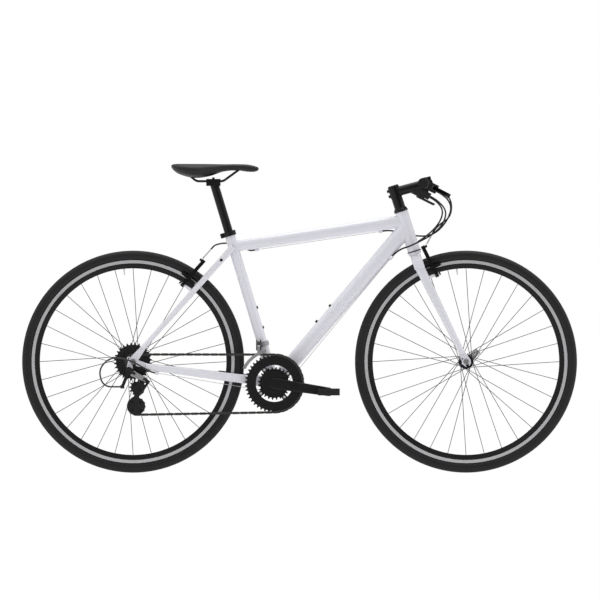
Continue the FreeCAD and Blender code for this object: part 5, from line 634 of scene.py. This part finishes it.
HOUSING_DIAMETER = 0.005
WIRE_RADIUS = 0.0008
WIRE_SIDES = 12
WIRE_STEPS = 8
CURVE_ORDER = 3
CURVE_STEPS = 12
TUBE_REFERENCE = (0.13, 0.21, 0.97)
LEFT_BRAKE_BARREL = [(0.41612, 0.13442, 0.87795), (0.41747, 0.10846, 0.87795)]
LEFT_SHIFT_BARREL = [(0.40215, 0.14601, 0.8522), (0.42551, 0.14601, 0.8408)]
LEFT_DOWN_TUBE_STOP = [(0.30346, 0.016, 0.68826), (0.28661, 0.016, 0.66846)]
TOP_TUBE_STOP = [(0.27557, 0.01013, 0.74914), (0.25578, 0.01003, 0.74621)]
FRONT_NOODLE = [(0.42358, 0.06, 0.76183), (0.41115, 0.06, 0.739)]
FRONT_WIRE = [(0.38915, 0.022, 0.6986), (0.38915, -0.03, 0.6986)]


def on_right(points):
    """The same points on the bike's other side."""
    return [(x, -y, z) for x, y, z in points]


ROUTES = {
    "front_brake_housing": [
        *LEFT_BRAKE_BARREL, (0.47, 0.062, 0.852), (0.47, 0.062, 0.79), *FRONT_NOODLE],
    "rear_brake_lever_housing": [
        *on_right(LEFT_BRAKE_BARREL), (0.472, -0.06, 0.832), (0.458, -0.024, 0.778), (0.412, 0.024, 0.731),
        (0.352, 0.038, 0.731), (0.304, 0.034, 0.744), *TOP_TUBE_STOP],
    "rear_shift_lever_housing": [
        *on_right(LEFT_SHIFT_BARREL), (0.458, -0.084, 0.802), (0.428, -0.056, 0.744), (0.344, -0.038, 0.7),
        *on_right(LEFT_DOWN_TUBE_STOP)],
    "front_shift_lever_housing": [
        *LEFT_SHIFT_BARREL, (0.448, 0.092, 0.806), (0.424, 0.086, 0.756), (0.358, 0.046, 0.706),
        *LEFT_DOWN_TUBE_STOP],
}


def smooth_line(points):
    """Points along the smooth curve that a route's points control."""
    curve = bpy.data.curves.new("route", "CURVE")
    curve.dimensions = "3D"
    spline = curve.splines.new("NURBS")
    spline.points.add(len(points) - 1)
    spline.points.foreach_set("co", np.hstack([np.array(points), np.ones((len(points), 1))]).ravel())
    spline.order_u = CURVE_ORDER
    spline.use_endpoint_u = True
    spline.resolution_u = CURVE_STEPS
    holder = add_object("route", curve)
    mesh = bpy.data.meshes.new_from_object(holder)
    line = np.empty(len(mesh.vertices) * 3)
    mesh.vertices.foreach_get("co", line)
    bpy.data.objects.remove(holder)
    bpy.data.curves.remove(curve)
    bpy.data.meshes.remove(mesh)
    return line.reshape(-1, 3)


def tube(name, line, radius, made, count=16):
    """Round tube: a circle carried along a line, kept from twisting by a direction that no route follows."""
    way = np.gradient(line, axis=0)
    way /= np.linalg.norm(way, axis=1, keepdims=True)
    across = np.cross(way, TUBE_REFERENCE)
    across /= np.linalg.norm(across, axis=1, keepdims=True)
    other = np.cross(way, across)
    angle = np.linspace(0, FULL_TURN, count, endpoint=False)[None, :, None]
    points = line[:, None] + radius * (across[:, None] * np.cos(angle) + other[:, None] * np.sin(angle))
    return surface(name, points, made)


def control_cables():
    """Housings from the handlebar: the front brake housing and its wire turn with the bar, the others stay in
    place.
    """
    for name, route in ROUTES.items():
        line = smooth_line(route)
        piece = tube(name, line, HOUSING_DIAMETER / 2, HOUSING_SKIN)
        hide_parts("control_cables")
        if name == "front_brake_housing":
            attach(piece, "steering")
        else:
            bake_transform(piece)
    wire_line = np.linspace(FRONT_WIRE[0], FRONT_WIRE[1], WIRE_STEPS)
    wire = tube("front_brake_wire", wire_line, WIRE_RADIUS, WIRE_STEEL, WIRE_SIDES)
    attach(wire, "steering")
    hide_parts("control_cables")


control_cables()


# Stage, light and camera

LIGHT_ALONG = 0.15
LIGHT_AROUND = 1.1
FLOOR_REACH = 30.0
FLOOR_WHITE = grey(0.9)
FLOOR_ROUGHNESS = 0.9
FLOOR_GLOW = 0.95
GLOW_LEVEL = 1.02
LAMPS = [("top_softbox", (0.3, 0.6, 4.0), 3.5, 60), ("front_softbox", (-1.5, -4.5, 2.6), 2.5, 8)]
LAMP_TARGET = Vector((0, 0, 0.5))
SENSOR_WIDTH = 36
VIEW_DEPTH = 200
CAMERA_DISTANCE = 40.0
FRAME_WIDTH = 1.8532
FRAME_MIDDLE = (0.0014, 0.5334)


def light_world(scene):
    """World that is white to the camera; as a light it is stronger around the bike than along its axles."""
    world = bpy.data.worlds.new("studio_world")
    scene.world = world
    world.use_nodes = True
    nodes, links = world.node_tree.nodes, world.node_tree.links
    background = nodes["Background"]
    background.inputs["Color"].default_value = grey(1)
    way = nodes.new("ShaderNodeSeparateXYZ")
    links.new(nodes.new("ShaderNodeTexCoord").outputs["Generated"], way.inputs[0])
    along = math_node(nodes, links, "MULTIPLY", way.outputs["Y"], way.outputs["Y"])
    soft = spread(nodes, links, along, LIGHT_AROUND, LIGHT_ALONG)
    path = nodes.new("ShaderNodeLightPath")
    links.new(spread(nodes, links, path.outputs["Is Camera Ray"], soft, 1.0), background.inputs["Strength"])


def seen_directly(nodes, links):
    """1 for rays from the camera, mirrors and glass, 0 for plain light."""
    path = nodes.new("ShaderNodeLightPath")
    both = math_node(nodes, links, "MAXIMUM", path.outputs["Is Camera Ray"], path.outputs["Is Glossy Ray"])
    return math_node(nodes, links, "MAXIMUM", both, path.outputs["Is Transmission Ray"])


def lay_floor():
    """White paper floor that glows to the camera, so that only a little of its shading shows."""
    mesh = bpy.data.meshes.new("studio_floor")
    corners = [(x * FLOOR_REACH, y * FLOOR_REACH, 0) for x, y in ((-1, -1), (1, -1), (1, 1), (-1, 1))]
    mesh.from_pydata(corners, [], [(0, 1, 2, 3)])
    floor = add_object("studio_floor", mesh)
    paper = bpy.data.materials.new("white_paper_floor")
    paper.use_nodes = True
    nodes, links, shader = open_tree(paper)
    shader.inputs["Base Color"].default_value = FLOOR_WHITE
    shader.inputs["Roughness"].default_value = FLOOR_ROUGHNESS
    glow = nodes.new("ShaderNodeEmission")
    glow.inputs["Strength"].default_value = GLOW_LEVEL
    mix = nodes.new("ShaderNodeMixShader")
    share = math_node(nodes, links, "MULTIPLY", seen_directly(nodes, links), FLOOR_GLOW)
    for place, output in enumerate((share, shader.outputs[0], glow.outputs[0])):
        links.new(output, mix.inputs[place])
    links.new(mix.outputs[0], nodes["Material Output"].inputs["Surface"])
    mesh.materials.append(paper)


def hang_lamps():
    """Soft square lamps that face the bike's middle."""
    for name, place, size, watts in LAMPS:
        lamp = bpy.data.lights.new(name, "AREA")
        lamp.shape = "SQUARE"
        lamp.size = size
        lamp.energy = watts
        holder = add_object(name, lamp)
        holder.location = place
        holder.rotation_euler = (LAMP_TARGET - Vector(place)).to_track_quat("-Z", "Y").to_euler()


def place_camera(scene):
    """Long-lens camera that looks straight at the drive side."""
    lens = bpy.data.cameras.new("studio_camera")
    lens.sensor_width = SENSOR_WIDTH
    lens.lens = SENSOR_WIDTH * CAMERA_DISTANCE / FRAME_WIDTH
    lens.clip_end = VIEW_DEPTH
    camera = add_object("studio_camera", lens)
    camera.location = (FRAME_MIDDLE[0], -CAMERA_DISTANCE, FRAME_MIDDLE[1])
    camera.rotation_euler = (np.pi / 2, 0, 0)
    scene.camera = camera


studio = bpy.context.scene
studio.view_settings.view_transform = "Standard"
light_world(studio)
lay_floor()
hang_lamps()
place_camera(studio)
